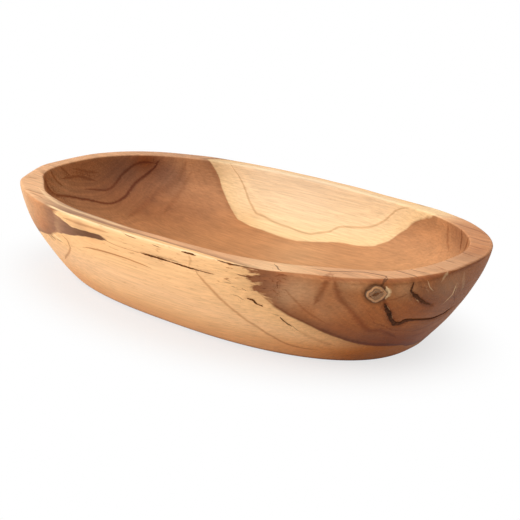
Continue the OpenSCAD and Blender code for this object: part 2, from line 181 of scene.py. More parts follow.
SOFT_LINES = [
    ("wall", 0.55, 0.85, [(-102.6, 19.2), (-99.4, 17.6), (-95.7, 16.7), (-92.8, 16.4), (-90.8, 16.5), (-88.3, 17.5)]),
    ("wall", 0.3, 0.55, [(-96.6, 8.1), (-95, 8.9), (-93, 9.9), (-90.6, 9.9), (-88.5, 9.5)]),
    ("wall", 1.1, 0.55, [
        (-78.8, 10.2), (-78.1, 12.6), (-75.7, 18), (-73, 24.1), (-70.2, 29.2), (-67.5, 33.5), (-65.3, 37.1),
        (-62.8, 39.9), (-59.7, 44.4), (-56.6, 48), (-53.5, 50.8), (-48.4, 52.4), (-44.1, 52.2)]),
    ("wall", 1.6, 0.3, [(-51.2, 37.2), (-45.9, 43), (-39, 47.1)]),
    ("wall", 1, 0.35, [(-80.4, 2.2), (-79.9, 4.8), (-80.2, 7.8)]),
    ("wall", 0.9, 0.65, [(-110.6, 17.4), (-108.9, 19.4), (-109, 24.9), (-112.6, 31.5), (-120.5, 41)]),
    ("wall", 1.9, 0.6, [(-48.6, 16.6), (-48, 11.1), (-47.2, 5.2), (-46.7, -0.6)]),
    ("wall", 1.9, 0.6, [
        (-45, 0.6), (-44.1, 5.5), (-42.2, 12.1), (-39, 17.4), (-35.6, 24), (-32, 30.5), (-29, 34.6),
        (-25.8, 33.8), (-22, 37), (-17.4, 41.8)]),
    ("wall", 1, 0.35, [(3.3, 36.6), (0.1, 38.8), (-4.4, 39.8), (-11.2, 39.9)]),
    ("wall", 1.3, 0.3, [(-9, 44.8), (-2, 45.4), (6, 44.6)]),
    ("wall", 0.9, 0.4, [(-56.9, 10.5), (-55.2, 14), (-53.4, 17.1), (-51.2, 21.4), (-48.2, 25.1), (-44.3, 29.3)]),
    ("wall", 1.1, 0.5, [
        (-12.3, 49.6), (-20.1, 47.1), (-27.4, 45.2), (-34.6, 42.2), (-42.2, 36.7), (-48.2, 32.3), (-53.5, 27.4),
        (-58, 22.8), (-62.1, 17.3)]),
    ("wall", 0.7, 0.6, [(-59.7, 2.9), (-59, 1.8), (-57.6, 2)]),
    ("wall", 0.7, 0.5, [(-60.1, 12), (-58.8, 13.4)]),
    ("wall", 0.5, 0.5, [(-59.3, 5), (-58.3, 5.9)]),
    ("wall", 0.5, 0.6, [(-59.3, 7.1), (-59, 10.6)]),
    ("wall", 0.5, 0.55, [(-56.9, 4.4), (-58.2, 3.6)]),
    ("wall", 0.5, 0.6, [(-57.4, 10.9), (-56.2, 11)]),
    ("wall", 0.45, 0.5, [(-57.8, 15.2), (-58.5, 14.6)]),
    ("wall", 0.9, 0.5, [(-107.8, 3.9), (-102.5, 3.7), (-98.5, 3.4), (-94.6, 3.1)]),
    # A painted shadow line just under the rubbed outer edge of the front right rim
    ("wall", 1.8, 0.6, [
        (8, 0.8), (0, 0.8), (-8, 0.8), (-16, 0.8), (-24, 0.8), (-32, 0.8), (-42, 0.8), (-48, 0.8)]),
    ("wall", 2.6, 0.6, [
        (-28.8, 12.5), (-27, 18), (-25.4, 21.5), (-23.6, 26.4), (-20.8, 31), (-18.2, 30.8), (-15, 29.6)]),
    ("wall", 1.6, 0.4, [(-12.4, 30.3), (-4, 34.2), (0.4, 34.4), (2.6, 31.4)]),
    ("wall", 2.2, 0.5, [(-8.6, 21.4), (-13.2, 17.8), (-15, 15.5), (-18.8, 10.8), (-20.6, 8)]),
    ("wall", 0.6, 0.4, [(4.4, 23.4), (8.1, 17.7), (9.5, 13)]),
    ("wall", 0.6, 0.4, [(3, 31.8), (9, 29), (12.7, 22.1)]),
    ("rim", 0.9, 0.5, [(-156.3, -48.1), (-149.7, -47.4), (-146, -44.5)]),
    ("rim", 0.8, 0.25, [(-134.2, -55.9), (-144.4, -59.2)]),
    ("rim", 0.9, 0.6, [(-132.2, -68), (-121, -68.8), (-110.2, -68.6)]),
    ("rim", 0.6, 0.6, [(-104.7, -74.7), (-113, -73), (-121, -71.6)]),
    ("rim", 0.8, 0.5, [(127, 61), (134.3, 59.6), (146.5, 57.2), (154, 54)]),
    ("rim", 0.7, 0.5, [(163, 41.2), (156, 42.4), (149.3, 43.9)]),
    ("rim", 0.6, 0.45, [(152, 31.2), (160, 29.6), (168, 28.4)]),
    ("rim", 0.6, 0.55, [(170.5, -16.8), (166.5, -15.4), (162.5, -14.4)]),
    ("hollow", 2, 0.55, [(-158.9, 0.6), (-160, 7.9), (-160.1, 12.1), (-162.3, 16.4), (-167.3, 20.8)]),
    ("wall", 0.5, 0.5, [(-20.9, 8.9), (-22.9, 10.6), (-24.9, 11.8), (-27, 12.9)]),
    ("wall", 0.5, 0.6, [(-2, 12), (-0.4, 20), (1.6, 28)]),
    ("hollow", 0.85, 0.46, [
        (113, 0.9), (111.9, 4.7), (110.4, 8.4), (109, 13.5), (108, 18.3), (106.9, 24), (105.5, 27.9),
        (104.2, 31.3), (101.9, 31.5), (99.7, 32.8), (97.4, 33.7), (95, 34.2), (93.1, 34.2), (91.4, 34.9),
        (90, 35.2), (88.6, 34.9), (87, 33), (84.7, 31), (84, 28.4), (83, 26.4), (80.1, 24.7),
        (77, 23.2), (74.3, 20.4), (72.1, 16.1), (71.1, 13.3), (70, 9.6), (68.4, 5.4), (66.5, 2.8), (63.4, 0.7)]),
    ("hollow", 1.3, 1, [
        (140.3, 5.2), (141.7, 9.3), (145.9, 15.1), (151.6, 20.3), (156.4, 25.6), (159.9, 28.8), (165.1, 30.8),
        (169.4, 31.7), (173.4, 30.9), (176.9, 29), (180.3, 26.4), (185.3, 22.7), (193.5, 19.1), (197.3, 13.9),
        (199.2, 8.2), (201, 1.4)]),
    ("hollow", 1.1, 0.8, [
        (177.6, 21.1), (173.4, 22.5), (168.6, 24.2), (164.7, 23), (160.7, 19.4), (157.3, 14.5), (153.3, 10.4),
        (150, 6.9), (145.8, 5.7), (142, 6.3)]),
    ("hollow", 3.2, 0.3, [
        (166.9, 38.3), (160.9, 37.2), (153.6, 34.5), (148.2, 30.9), (142.6, 25.9), (138, 23.3), (133.2, 18.7),
        (130.6, 11.2), (129.1, 3.7)]),
    ("hollow", 2.2, 0.22, [(127.5, 12), (129.1, 16.5), (131.5, 23.1), (134.9, 28.5), (138, 32.2), (145.1, 37.9)]),
    ("hollow", 1.6, 0.15, [(110.9, 35), (114.5, 28), (117, 19.8), (118, 12), (120.4, 2.2)]),
    ("hollow", 1.2, 0.45, [(45.5, 2.2), (45.3, 8), (44, 13.4), (41.3, 16.9)]),
    ("hollow", 0.9, 0.85, [(34.1, 13.1), (35.1, 9.2), (34.8, 4.5), (36, 0.8)]),
    ("hollow", 0.9, 0.95, [(27, 0.8), (28.4, 5.3), (30.2, 9.8)]),
    ("hollow", 0.9, 0.65, [(193.1, 1.6), (191.4, 6.3), (189.2, 11.2), (186.5, 15.1)]),
    ("hollow", 0.9, 0.6, [(182.1, 8.3), (183.8, 5.3), (185.9, 1.6)]),
    ("hollow", 1, 0.5, [(169.6, 11.5), (174.4, 10.1), (179.9, 5.6)]),
    ("hollow", 1.2, 0.6, [(171.6, 17), (174.7, 14.8), (178.6, 11.7), (180.8, 11.1), (185.5, 10.4)]),
]
PALE_LINES = [
    ("wall", 0.45, 0.75, [(-2, 11.2), (-1.4, 18.4), (-3.1, 22.3)]),
    ("wall", 0.25, 0.6, [(-15.2, 2.9), (-13.7, 7.1), (-12.1, 9.4)]),
    ("wall", 0.8, 0.36, [(-7.1, 0.3), (-8.6, 1.9), (-9.2, 4.2)]),
    ("wall", 1.2, 0.16, [(-0.5, 4.8), (0, 10.4), (1.2, 17.5)]),
    ("wall", 1.3, 0.95, [(-29.2, 4.6), (-28.2, 7.4), (-28.4, 10.6)]),
    ("wall", 0.6, 0.6, [(-116, 19.4), (-112.3, 22)]),
    # A painted highlight along the inner lip of the front rim
    ("rim", 1.1, 0.5, [
        (-125, -61.5), (-105, -70.5), (-88, -75.6), (-68, -78.4), (-48, -80), (-30, -80.6), (-11, -81)]),
    ("wall", 0.4, 0.5, [(-84.1, 8.8), (-82, 8.8)]),
    ("wall", 0.35, 0.5, [(-20, 9.6), (-17.9, 12.6), (-15.9, 16)]),
    ("wall", 0.35, 0.45, [(-26.6, 17.4), (-25, 21.2), (-23, 26)]),
]

# Soft patches in the wood, as (surface, (x, y, z), reach along, reach up, strength), in millimetres
# Grey-purple patches. The one at (132, -36, 5) by the base is painted shade, and those in the hollow at x = -90 mm and
# further left are partly the wood's own darker colour and partly painted shade on that end, which faces away from the
# key lamp
STAINS_AND_PAINTED_SHADE = [
    ("wall", (101, -80, 54), 16, 10, 0.38),
    ("wall", (122, -72, 46), 16, 12, 0.15),
    ("wall", (172, -2, 36), 26, 24, 0.5),
    ("wall", (140, -46, 22), 16, 7, 0.5),
    ("wall", (148, -24, 17), 18, 9, 0.42),
    ("wall", (127, -62, 29), 12, 6, 0.25),
    ("hollow", (-154, 12, 42), 34, 24, 0.32),
    ("hollow", (-151, 38, 52), 17, 16, 0.65),
    ("hollow", (-133, 55, 53), 15, 17, 0.5),
    ("hollow", (-120, 61, 48), 15, 15, 0.44),
    ("hollow", (-96, 71, 54), 14, 13, 0.34),
    ("wall", (169, -24, 50), 10, 9, 0.32),
    ("rim", (140, 57, 62), 16, 9, 0.18),
    ("hollow", (-126, 38, 29), 20, 14, 0.3),
    ("hollow", (-92, 53, 25), 28, 12, 0.28),
    ("hollow", (137, 53, 58), 17, 14, 0.45),
    ("rim", (-76, -80, 62), 30, 9, 0.7),
    ("rim", (-30, -80, 62), 28, 9, 0.36),
    ("rim", (133, -62, 62), 14, 9, 0.14),
    ("rim", (-120, 70, 62), 50, 9, 0.35),
    ("wall", (132, -36, 5), 18, 7, 0.35),
    ("wall", (136, -67, 55), 8, 8, 0.15),
    ("wall", (-53, -88, 58), 9, 4, 0.3),
    ("rim", (170, 14, 62), 22, 9, 0.2),
]
# Amber darkening. The wall patches within 20 mm of the base are painted shade, and those in the hollow at x = -90 mm
# and further left are partly the wood's own colour and partly painted shade on that end, which faces away from the key
# lamp
SHADES = [
    ("wall", (140, -26, 4), 28, 14, 0.9),
    ("wall", (110, -55, 10), 34, 9, 0.34),
    ("wall", (-85, -75, 14), 22, 12, 0.15),
    ("wall", (100, -80, 54), 13, 8, 0.22),
    ("wall", (128, -58, 28), 14, 6, 0.2),
    ("wall", (146, -34, 20), 24, 9, 0.42),
    ("wall", (167, -22, 46), 10, 10, 0.22),
    ("wall", (143, -57, 40), 14, 10, 0.24),
    ("wall", (113, -76, 48), 15, 10, 0.14),
    ("wall", (160, -37, 40), 9, 9, 0.2),
    ("wall", (163, -24, 39), 12, 10, 0.18),
    ("wall", (105, -80, 55), 5, 9, 0.26),
    ("wall", (116, -76, 50), 14, 10, 0.08),
    ("wall", (-42, -89, 53), 10, 4, 0.3),
    ("hollow", (-137, 54, 55), 12, 10, 0.25),
    ("wall", (-100, -80, 46), 10, 6, 0.42),
    ("hollow", (136, 54, 59), 16, 10, 0.28),
    ("hollow", (-50, 67, 28), 13, 10, 0.2),
    ("hollow", (-142, 52, 58), 10, 6, 0.5),
    ("hollow", (-155, 10, 44), 26, 24, 0.04),
    ("hollow", (-150, 28, 38), 14, 12, 0.2),
    ("hollow", (-139, 50, 48), 16, 16, 0.26),
    ("hollow", (-124, 38, 28), 26, 12, 0.25),
    ("hollow", (-152, 16, 40), 34, 20, 0.26),
    ("hollow", (-100, 40, 24), 40, 14, 0.2),
    ("rim", (166, 24, 62), 14, 9, 0.35),
    ("rim", (150, 52, 62), 30, 9, 0.42),
]
# Pale patches. The first two are partly paler wood towards the left tip and partly a painted band of light along the
# outline of the left end; the rest make the wood paler
BLEACHED_AND_LIT = [
    ("wall", (-165, -40, 54), 60, 40, 0.3),
    ("wall", (-137, -66, 46), 14, 22, 0.34),
    ("wall", (143, -63, 59), 10, 4, 0.22),
    ("wall", (163, -44, 56), 8, 6, 0.2),
    ("wall", (112, -76, 49), 12, 8, 0.2),
    ("wall", (138, -63, 45), 11, 9, 0.1),
    ("wall", (122, -73, 51), 9, 7, 0.08),
    ("wall", (116, -76, 57), 12, 6, 0.12),
    ("wall", (107, -77, 45), 8, 7, 0.08),
    ("wall", (125, -66, 39), 7, 6, 0.1),
    ("wall", (172, -14, 53), 13, 8, 0.12),
    ("rim", (-120, -64, 62), 60, 9, 0.2),
    ("rim", (98, -77, 62), 22, 9, 0.42),
    ("rim", (95, 80, 62), 14, 9, 0.7),
    ("rim", (109, 75, 62), 12, 9, 0.6),
    ("hollow", (90, 30, 26), 70, 26, 0.1),
    ("hollow", (-162, -14, 51), 10, 12, 0.08),
    ("hollow", (10, 50, 17), 26, 8, 0.14),
    ("wall", (-112, -78, 54), 22, 12, 0.13),
]

# How much of the heartwood's own colour shows at a depth in millimetres, where the rest is the dark of a growth line.
# The two ends come first, as a colour ramp has them
RING_DEPTH = 60
RING_LEVELS = [
    (0, 0.24), (60, 0.9), (1.2, 0.34), (3, 0.8), (5, 0.97), (6, 1), (6.5, 0.9), (7.1, 1), (11.4, 0.97),
    (11.8, 0.84), (12.6, 0.96), (18, 0.93), (18.5, 0.75), (19.2, 0.9), (23.7, 0.9), (24.3, 0.78), (25.2, 0.9),
    (30.9, 0.88), (31.5, 0.76), (32.4, 0.88), (38, 0.88), (38.4, 0.74), (39.3, 0.88), (45, 0.85),
]


def linear(hex_colour):
    """Linear RGB of an sRGB colour written as a hex value."""
    srgb = np.array([int(hex_colour[i : i + 2], 16) / 255 for i in (1, 3, 5)])
    return tuple(np.where(srgb <= 0.04045, srgb / 12.92, ((srgb + 0.055) / 1.055) ** 2.4).tolist())


class BowlForm(bpy.types.PropertyGroup):
    """Sizes of the carved bowl, the same as in the CAD model."""

    length: bpy.props.FloatProperty(
        name="Length", description="Length over the rim, end to end", default=0.350, unit="LENGTH"
    )
    width: bpy.props.FloatProperty(
        name="Width", description="Width over the rim, side to side", default=0.180, unit="LENGTH"
    )
    height: bpy.props.FloatProperty(
        name="Height", description="Height from the table to the rim", default=CAD_BOX[1].z, unit="LENGTH"
    )
    end_flare: bpy.props.FloatProperty(
        name="End flare", description="How far each end leans out past the base", default=0.037, unit="LENGTH"
    )
    side_flare: bpy.props.FloatProperty(
        name="Side flare", description="How far each side leans out past the base", default=0.0245, unit="LENGTH"
    )
    rim_ends: bpy.props.FloatVectorProperty(
        name="Rim at the ends", description="Rim width at the left and right end", size=2, default=(0.011, 0.0135),
        unit="LENGTH",
    )
    rim_sides: bpy.props.FloatVectorProperty(
        name="Rim at the sides", description="Rim width along the front and back side", size=2,
        default=(0.011, 0.0085), unit="LENGTH",
    )
    floor: bpy.props.FloatProperty(
        name="Floor", description="Wood left under the deepest part of the hollow", default=0.012, unit="LENGTH"
    )
    worn_bevel: bpy.props.FloatVectorProperty(
        name="Worn bevel", description="Width and depth of the worn bevel along the left half of the front rim",
        size=2, default=(0.0032, 0.0024), unit="LENGTH",
    )
    carving: bpy.props.FloatProperty(
        name="Carving", description="Depth of the soft waves that the carving tools left", default=0.0004,
        unit="LENGTH",
    )


class BowlFinish(bpy.types.PropertyGroup):
    """Colours of the wood, the knot, the bark, the stopping and the stage."""

    sapwood: bpy.props.FloatVectorProperty(
        name="Sapwood", description="Pale outer wood of the log, on the wall", subtype="COLOR", size=3,
        default=linear("#eec49a"),
    )
    # Paler than the sapwood on the wall, partly as painted light and sheen where the hollow faces up
    sapwood_inside_paler_and_lit: bpy.props.FloatVectorProperty(
        name="Sapwood inside", description="Pale outer wood of the log, in the hollow", subtype="COLOR", size=3,
        default=linear("#f1d6b3"),
    )
    growth_line: bpy.props.FloatVectorProperty(
        name="Growth line", description="What is left of the wood's colour in a soft growth line", subtype="COLOR",
        size=3, default=(0.46, 0.26, 0.11),
    )
    # Redder and darker than in the hollow, partly as painted shade on the wall
    heartwood: bpy.props.FloatVectorProperty(
        name="Heartwood", description="Red-brown inner wood of the log, on the wall", subtype="COLOR", size=3,
        default=linear("#b36e3b"),
    )
    # Lighter than the heartwood on the wall, partly as painted light where the hollow faces up
    heartwood_inside_paler_and_lit: bpy.props.FloatVectorProperty(
        name="Heartwood inside", description="Orange-brown inner wood of the log, in the hollow", subtype="COLOR",
        size=3, default=linear("#c18859"),
    )
    heartwood_dark: bpy.props.FloatVectorProperty(
        name="Dark heartwood", description="Dark growth lines in the inner wood", subtype="COLOR", size=3,
        default=linear("#5e3a24"),
    )
    # Paler than the heartwood, partly as painted light on the rim's upward face
    rim_wood_and_top_light: bpy.props.FloatVectorProperty(
        name="Rim wood", description="Bleached inner wood on top of the rim", subtype="COLOR", size=3,
        default=linear("#dea77a"),
    )
    # Also the colour of the painted highlights along the rim's edges and of painted light along the left end's outline
    fresh_wood_and_highlight: bpy.props.FloatVectorProperty(
        name="Worn edge", description="Fresh pale wood on the worn bevel and in scratches", subtype="COLOR", size=3,
        default=linear("#f6d3a2"),
    )
    streak: bpy.props.FloatVectorProperty(
        name="Streak", description="Purple-brown streak in the left of the front wall", subtype="COLOR", size=3,
        default=linear("#8b5f49"),
    )
    # Also the colour of painted shade in the left of the hollow and of the painted contact shadow along the base
    stain_and_shade: bpy.props.FloatVectorProperty(
        name="Stain", description="Grey-purple stain in the inner wood", subtype="COLOR", size=3,
        default=linear("#74503f"),
    )
    # Also what is left of the colour where shade is painted low on the wall and in the left of the hollow
    amber: bpy.props.FloatVectorProperty(
        name="Amber shade", description="What is left of the wood's colour where it has turned amber", subtype="COLOR",
        size=3, default=(0.70, 0.37, 0.11),
    )
    knot: bpy.props.FloatVectorProperty(
        name="Knot", description="Hard wood of the encased knot", subtype="COLOR", size=3, default=linear("#a97a50")
    )
    bark: bpy.props.FloatVectorProperty(
        name="Bark", description="Bark left in the seams beside the knot", subtype="COLOR", size=3,
        default=linear("#4a2c1b"),
    )
    stopping: bpy.props.FloatVectorProperty(
        name="Stopping", description="Dark filler in the checks of the front wall", subtype="COLOR", size=3,
        default=linear("#603616"),
    )
    floor: bpy.props.FloatVectorProperty(
        name="Stage floor", description="Plain pale floor", subtype="COLOR", size=3, default=linear("#d9d5d3")
    )


def smooth(share):
    """Smooth step: 0 below 0, 1 above 1, and 3s^2 - 2s^3 between."""
    s = np.clip(share, 0, 1)
    return s * s * (3 - 2 * s)


def signed_power(v, exponent):
    """Power of a number that keeps the number's sign."""
    return np.sign(v) * np.abs(v) ** exponent


def oval(half_x, half_y, squareness, angle):
    """Oval x = a cos^(2/n) u, y = b sin^(2/n) u: an ellipse whose corners fill out as n grows."""
    return (
        half_x * signed_power(np.cos(angle), 2 / squareness),
        half_y * signed_power(np.sin(angle), 2 / squareness),
    )


def wall_sizes(form, z):
    """Half length, half width and squareness of the outer wall at a height, in millimetres.

    Each half size is the rim's less its flare times (1 - z/H)^bulge, and the squareness runs evenly up the wall.
    """
    share = np.clip(z / (form.height / MM), 0, 1)
    half_x = form.length / MM / 2 - form.end_flare / MM * (1 - share) ** END_BULGE
    half_y = form.width / MM / 2 - form.side_flare / MM * (1 - share) ** SIDE_BULGE
    return half_x, half_y, WALL_SQUARENESS + SQUARENESS_GAIN * share


def rim_edge(form, angle):
    """Inset and drop of the rim's outer edge at angles in radians.

    A small round grows into the worn bevel along the front left, and is larger where the rim is rubbed or knocked.
    Each of these places comes in and goes out by a smooth step.
    """
    degrees = np.degrees(angle)
    worn, rubbed, knocked = (
        smooth(np.minimum(degrees - first, last - degrees) / ease)
        for first, last, ease in (WORN_EDGE, RUBBED_EDGE, KNOCKED_EDGE)
    )
    sizes = zip(np.array(form.worn_bevel) / MM, RUBBED_SIZE, KNOCKED_SIZE)
    return [OUTER_EDGE + (bevel - OUTER_EDGE) * worn + rub * rubbed + knock * knocked for bevel, rub, knock in sizes]


def wall(form, angle, z):
    """Points on the outer wall, and over the quarter round of the rim's edge, at angles in radians and heights.

    Over the round, the wall is set back by inset (1 - cos q) at the height H - drop (1 - sin q). The right end is
    fuller by a bell over the height, which starts above the base's edge.
    """
    half_x, half_y, squareness = wall_sizes(form, z)
    inset, drop = rim_edge(form, angle)
    rise = np.clip(1 - (form.height / MM - z) / drop, 0, 1)
    set_back = inset * (1 - np.sqrt(1 - rise**2))
    x, y = oval(half_x - set_back, half_y - set_back, squareness, angle)
    height, reach, most = FULL_END
    fuller = most * np.exp(-(((z - height) / reach) ** 2)) * smooth((z - 1) / 8)
    return np.stack([x + fuller * np.clip(np.cos(angle), 0, 1) ** 2, y, z + 0 * x], -1)


def hollow_plan(form):
    """Half length, half width and middle of the hollow at the rim, in millimetres."""
    rim_left, rim_right = np.array(form.rim_ends) / MM
    rim_front, rim_back = np.array(form.rim_sides) / MM
    halves = form.length / MM / 2 - (rim_left + rim_right) / 2, form.width / MM / 2 - (rim_front + rim_back) / 2
    return *halves, np.array([(rim_left - rim_right) / 2, (rim_front - rim_back) / 2])


def thickness(form, angle, z):
    """Extra wood on the rim's inner side: a bell over the angle at each thick place, which runs out downwards."""
    degrees = np.degrees(angle)
    extra = sum(most * np.exp(-(((degrees - at) / reach) ** 2)) for at, reach, most in THICK_PLACES)
    return extra * smooth((z - form.height / MM + THICK_DOWN) / THICK_DOWN)


def hollow(form, angle, z):
    """Points on the wall of the hollow at angles in radians and heights in millimetres.

    Its profile is the oval cos^(2/m), sin^(2/m) with m for PROFILE_SQUARENESS, cut by a flat floor at FLOOR_CUT.
    """
    half_x, half_y, middle = hollow_plan(form)
    lip, floor = form.height / MM - INNER_EDGE, form.floor / MM
    fall = np.clip((lip - z) / (lip - floor), 0, 1)
    sine = fall ** (PROFILE_SQUARENESS / 2) * np.sin(np.radians(FLOOR_CUT))
    shrink = (1 - sine**2) ** (1 / PROFILE_SQUARENESS)
    extra = thickness(form, angle, z)
    x, y = oval(half_x * shrink - extra, half_y * shrink - extra, HOLLOW_SQUARENESS, angle)
    return np.stack([x + middle[0], y + middle[1], z + 0 * x], -1)


def wall_normals(form, angle, z):
    """Outward directions of the outer wall: the cross product of its slopes along the angle and up the height."""
    step_angle, step_z = 0.001, 0.05
    along = wall(form, angle + step_angle, z) - wall(form, angle - step_angle, z)
    upward = wall(form, angle, z + step_z) - wall(form, angle, z - step_z)
    n = np.cross(along, upward)
    return n / np.linalg.norm(n, axis=-1, keepdims=True)


def course_path(form, course, steps, surface=wall):
    """A course of (degrees, drop) on a surface as evenly spaced points, and the angle and height of each.

    The corners are eased by a running mean, so the path bends as a crack does.
    """
    corners, finer = np.array(course, float), 8
    at = np.linspace(0, len(corners) - 1, finer * steps)
    flat = np.stack([np.interp(at, np.arange(len(corners)), corners[:, k]) for k in (0, 1)], -1)
    reach = max(1, 3 * steps // len(corners))
    padded = np.pad(flat, ((reach, reach), (0, 0)), mode="reflect", reflect_type="odd")
    sums = np.cumsum(np.vstack([np.zeros((1, 2)), padded]), 0)
    eased = (sums[2 * reach + 1 :] - sums[: -2 * reach - 1]) / (2 * reach + 1)
    z = form.height / MM - eased[:, 1]
    points = surface(form, np.radians(eased[:, 0]), z)
    run = np.r_[0, np.cumsum(np.linalg.norm(np.diff(points, axis=0), axis=1))]
    even = np.linspace(0, run[-1], steps)
    angle, height = (np.interp(even, run, v) for v in (np.radians(eased[:, 0]), z))
    return surface(form, angle, height), angle, height


def line_path(form, line):
    """Points along a thin line of the wood, 0.8 mm or less apart, with its half width and strength."""
    surface, half, strength, course = line
    if surface == "rim":
        places, steps = np.array(course, float), 90
        at = np.linspace(0, len(places) - 1, steps)
        flat = [np.interp(at, np.arange(len(places)), places[:, k]) for k in (0, 1)]
        return np.stack([*flat, np.full(steps, form.height / MM)], -1), half, strength
    steps = 60 + 14 * len(course)
    return course_path(form, course, steps, {"wall": wall, "hollow": hollow}[surface])[0], half, strength


def patches(points, surfaces, places):
    """Sum of soft patches: each is strength times exp(-(level distance / along)^2 - (height / up)^2), cut at 1.

    A patch shows on its own surface only, by that surface's share of each point.
    """
    total = np.zeros(len(points))
    for surface, middle, along, up, strength in places:
        off = points - np.array(middle, float)
        bell = np.exp(-((np.hypot(off[:, 0], off[:, 1]) / along) ** 2) - (off[:, 2] / up) ** 2)
        total += strength * bell * surfaces[surface]
    return np.clip(total, 0, 1)


def ripple(points, size, seed):
    """Soft random waves from about -1 to 1: the mean of six sines in random directions, about size millimetres long."""
    draw, sines, gain = np.random.default_rng(seed), 6, 1.7
    ways = draw.normal(size=(sines, 3))
    ways *= (draw.uniform(0.7, 1.4, sines) * 2 * np.pi / size / np.linalg.norm(ways, axis=1))[:, None]
    return np.sin(points @ ways.T + draw.uniform(0, 2 * np.pi, sines)).mean(-1) * gain


def sagged(form, points):
    """Points in millimetres with their heights shrunk as the rim sank in drying: z (1 - s / H).

    The sag s is RIM_SAG up to x = 60, and falls to none at x = 120. Behind, BACK_SAG is added round x = 65.
    """
    x, y, z = points.T
    sag = RIM_SAG * (1 - smooth((x - 60) / 60)) + BACK_SAG * np.exp(-(((x - 65) / 45) ** 2)) * smooth(y / 40)
    return np.stack([x, y, z * (1 - sag / (form.height / MM))], -1)


def new_piece(name, vertices, faces, attributes=()):
    """Puts a mesh in millimetres into the scene as a smooth piece at the origin, with its named attributes."""
    mesh = bpy.data.meshes.new(name)
    vertices = sagged(bpy.context.scene.dough_bowl_form, vertices)
    mesh.from_pydata((vertices * MM).tolist(), [], faces)
    for key, values in dict(attributes).items():
        flat = np.asarray(values, np.float32)
        kind, field = ("FLOAT", "value") if flat.ndim == 1 else ("FLOAT_VECTOR", "vector")
        mesh.attributes.new(key, kind, "POINT").data.foreach_set(field, flat.ravel())
    mesh.polygons.foreach_set("use_smooth", np.ones(len(mesh.polygons), bool))
    mesh.validate()
    mesh.update()
    piece = bpy.data.objects.new(name, mesh)
    bpy.context.scene.collection.objects.link(piece)
    return piece


def closed_faces(rows, columns):
    """Faces of a grid of rows that wraps round its columns, closed by a fan to a pole at each end.

    The poles are the two vertices after the grid's own. Rows run so that each face turns outwards.
    """
    here = np.arange(rows * columns).reshape(rows, columns)
    ahead = np.roll(here, -1, 1)
    quads = np.stack([here[:-1], ahead[:-1], ahead[1:], here[1:]], -1).reshape(-1, 4)
    first = np.stack([np.full(columns, rows * columns), ahead[0], here[0]], -1)
    last = np.stack([np.full(columns, rows * columns + 1), here[-1], ahead[-1]], -1)
    return quads.tolist() + first.tolist() + last.tolist()


def spaced_angles(form, columns):
    fine = np.linspace(-np.pi, np.pi, 20001)
    x, y = oval(form.length / 2, form.width / 2, WALL_SQUARENESS + SQUARENESS_GAIN, fine)
    step = np.hypot(np.diff(x), np.diff(y))
    degrees = np.degrees((fine[1:] + fine[:-1]) / 2)
    # The knot and its seams lie from -48 to 8 degrees, and the checks from -125 to -46
    near_knot = smooth((degrees + 48) / 8) * smooth((8 - degrees) / 8)
    near_checks = smooth((degrees + 125) / 10) * smooth((-46 - degrees) / 8)
    run = np.r_[0, np.cumsum(step * (1 + 1.3 * near_knot + 0.5 * near_checks))]
    return np.interp(np.arange(columns) * run[-1] / columns, run, fine)


def carved_grid(form, columns):
    """Rows of points from the base, up the wall, over the rim and down the hollow to its floor, in millimetres.

    Returns the points, and for each row how far it is on the inside, from 0 on the wall to 1 in the hollow.
    """
    u = spaced_angles(form, columns)[None, :]
    high = form.height / MM
    quarter = np.linspace(0, np.pi / 2, 9)[:, None]
    # How far below the rim the rows begin to follow its outer edge
    land = 3.9

    base_x, base_y, base_n = wall_sizes(form, np.zeros(1))
    spread = np.linspace(0.06, 1, 9)[:, None]
    x, y = oval((base_x - BASE_EDGE) * spread, (base_y - BASE_EDGE) * spread, base_n, u)
    base = np.stack([x, y, 0 * x], -1)
    turn = np.linspace(0.2, 1, 4)[:, None] * np.pi / 2
    inset = BASE_EDGE * (1 - np.sin(turn))
    z = BASE_EDGE / 2 * (1 - np.cos(turn))
    side_x, side_y, side_n = wall_sizes(form, z)
    x, y = oval(side_x - inset, side_y - inset, side_n, u)
    foot = np.stack([x, y, z + 0 * x], -1)
    z = np.linspace(BASE_EDGE / 2, high - land, 62)[1:, None]
    side = wall(form, u, z)

    _, drop = rim_edge(form, u)
    shoulder = wall(form, u, high - land + (land - drop) * np.linspace(0, 1, 7)[1:, None])
    edge = wall(form, u, high - drop * (1 - np.sin(quarter[1:])))

    in_x, in_y, centre = hollow_plan(form)
    extra = thickness(form, u, high)
    x, y = oval(in_x + INNER_EDGE - extra, in_y + INNER_EDGE - extra, HOLLOW_SQUARENESS, u)
    lip = np.stack([x + centre[0], y + centre[1], high + 0 * x], -1)
    across = np.linspace(0, 1, 10)[1:, None, None]
    top = edge[-1] * (1 - across) + lip * across
    z = high - INNER_EDGE * (1 - np.cos(quarter[1:]))
    grow = INNER_EDGE * (1 - np.sin(quarter[1:])) - thickness(form, u, z)
    x, y = oval(in_x + grow, in_y + grow, HOLLOW_SQUARENESS, u)
    inner = np.stack([x + centre[0], y + centre[1], z + 0 * x], -1)

    cut = np.radians(FLOOR_CUT)
    profile = cut * np.linspace(0, 1, 69)[1:, None] ** 1.15
    fall = (np.sin(profile) / np.sin(cut)) ** (2 / PROFILE_SQUARENESS)
    inside_wall = hollow(form, u, high - INNER_EDGE - (high - INNER_EDGE - form.floor / MM) * fall)
    shares = np.linspace(1, 0.04, 14)[1:, None, None]
    middle = np.array([*centre, form.floor / MM])
    flat_floor = middle + (inside_wall[-1] - middle) * shares

    rows = [base, foot, side, shoulder, edge, top, inner, inside_wall, flat_floor]
    inside = [0, 0, 0, 0, 0, across[:, 0, 0], 1, 1, 1]
    inside = np.concatenate([np.broadcast_to(v, len(r)) for v, r in zip(inside, rows)])
    return np.concatenate(rows), inside


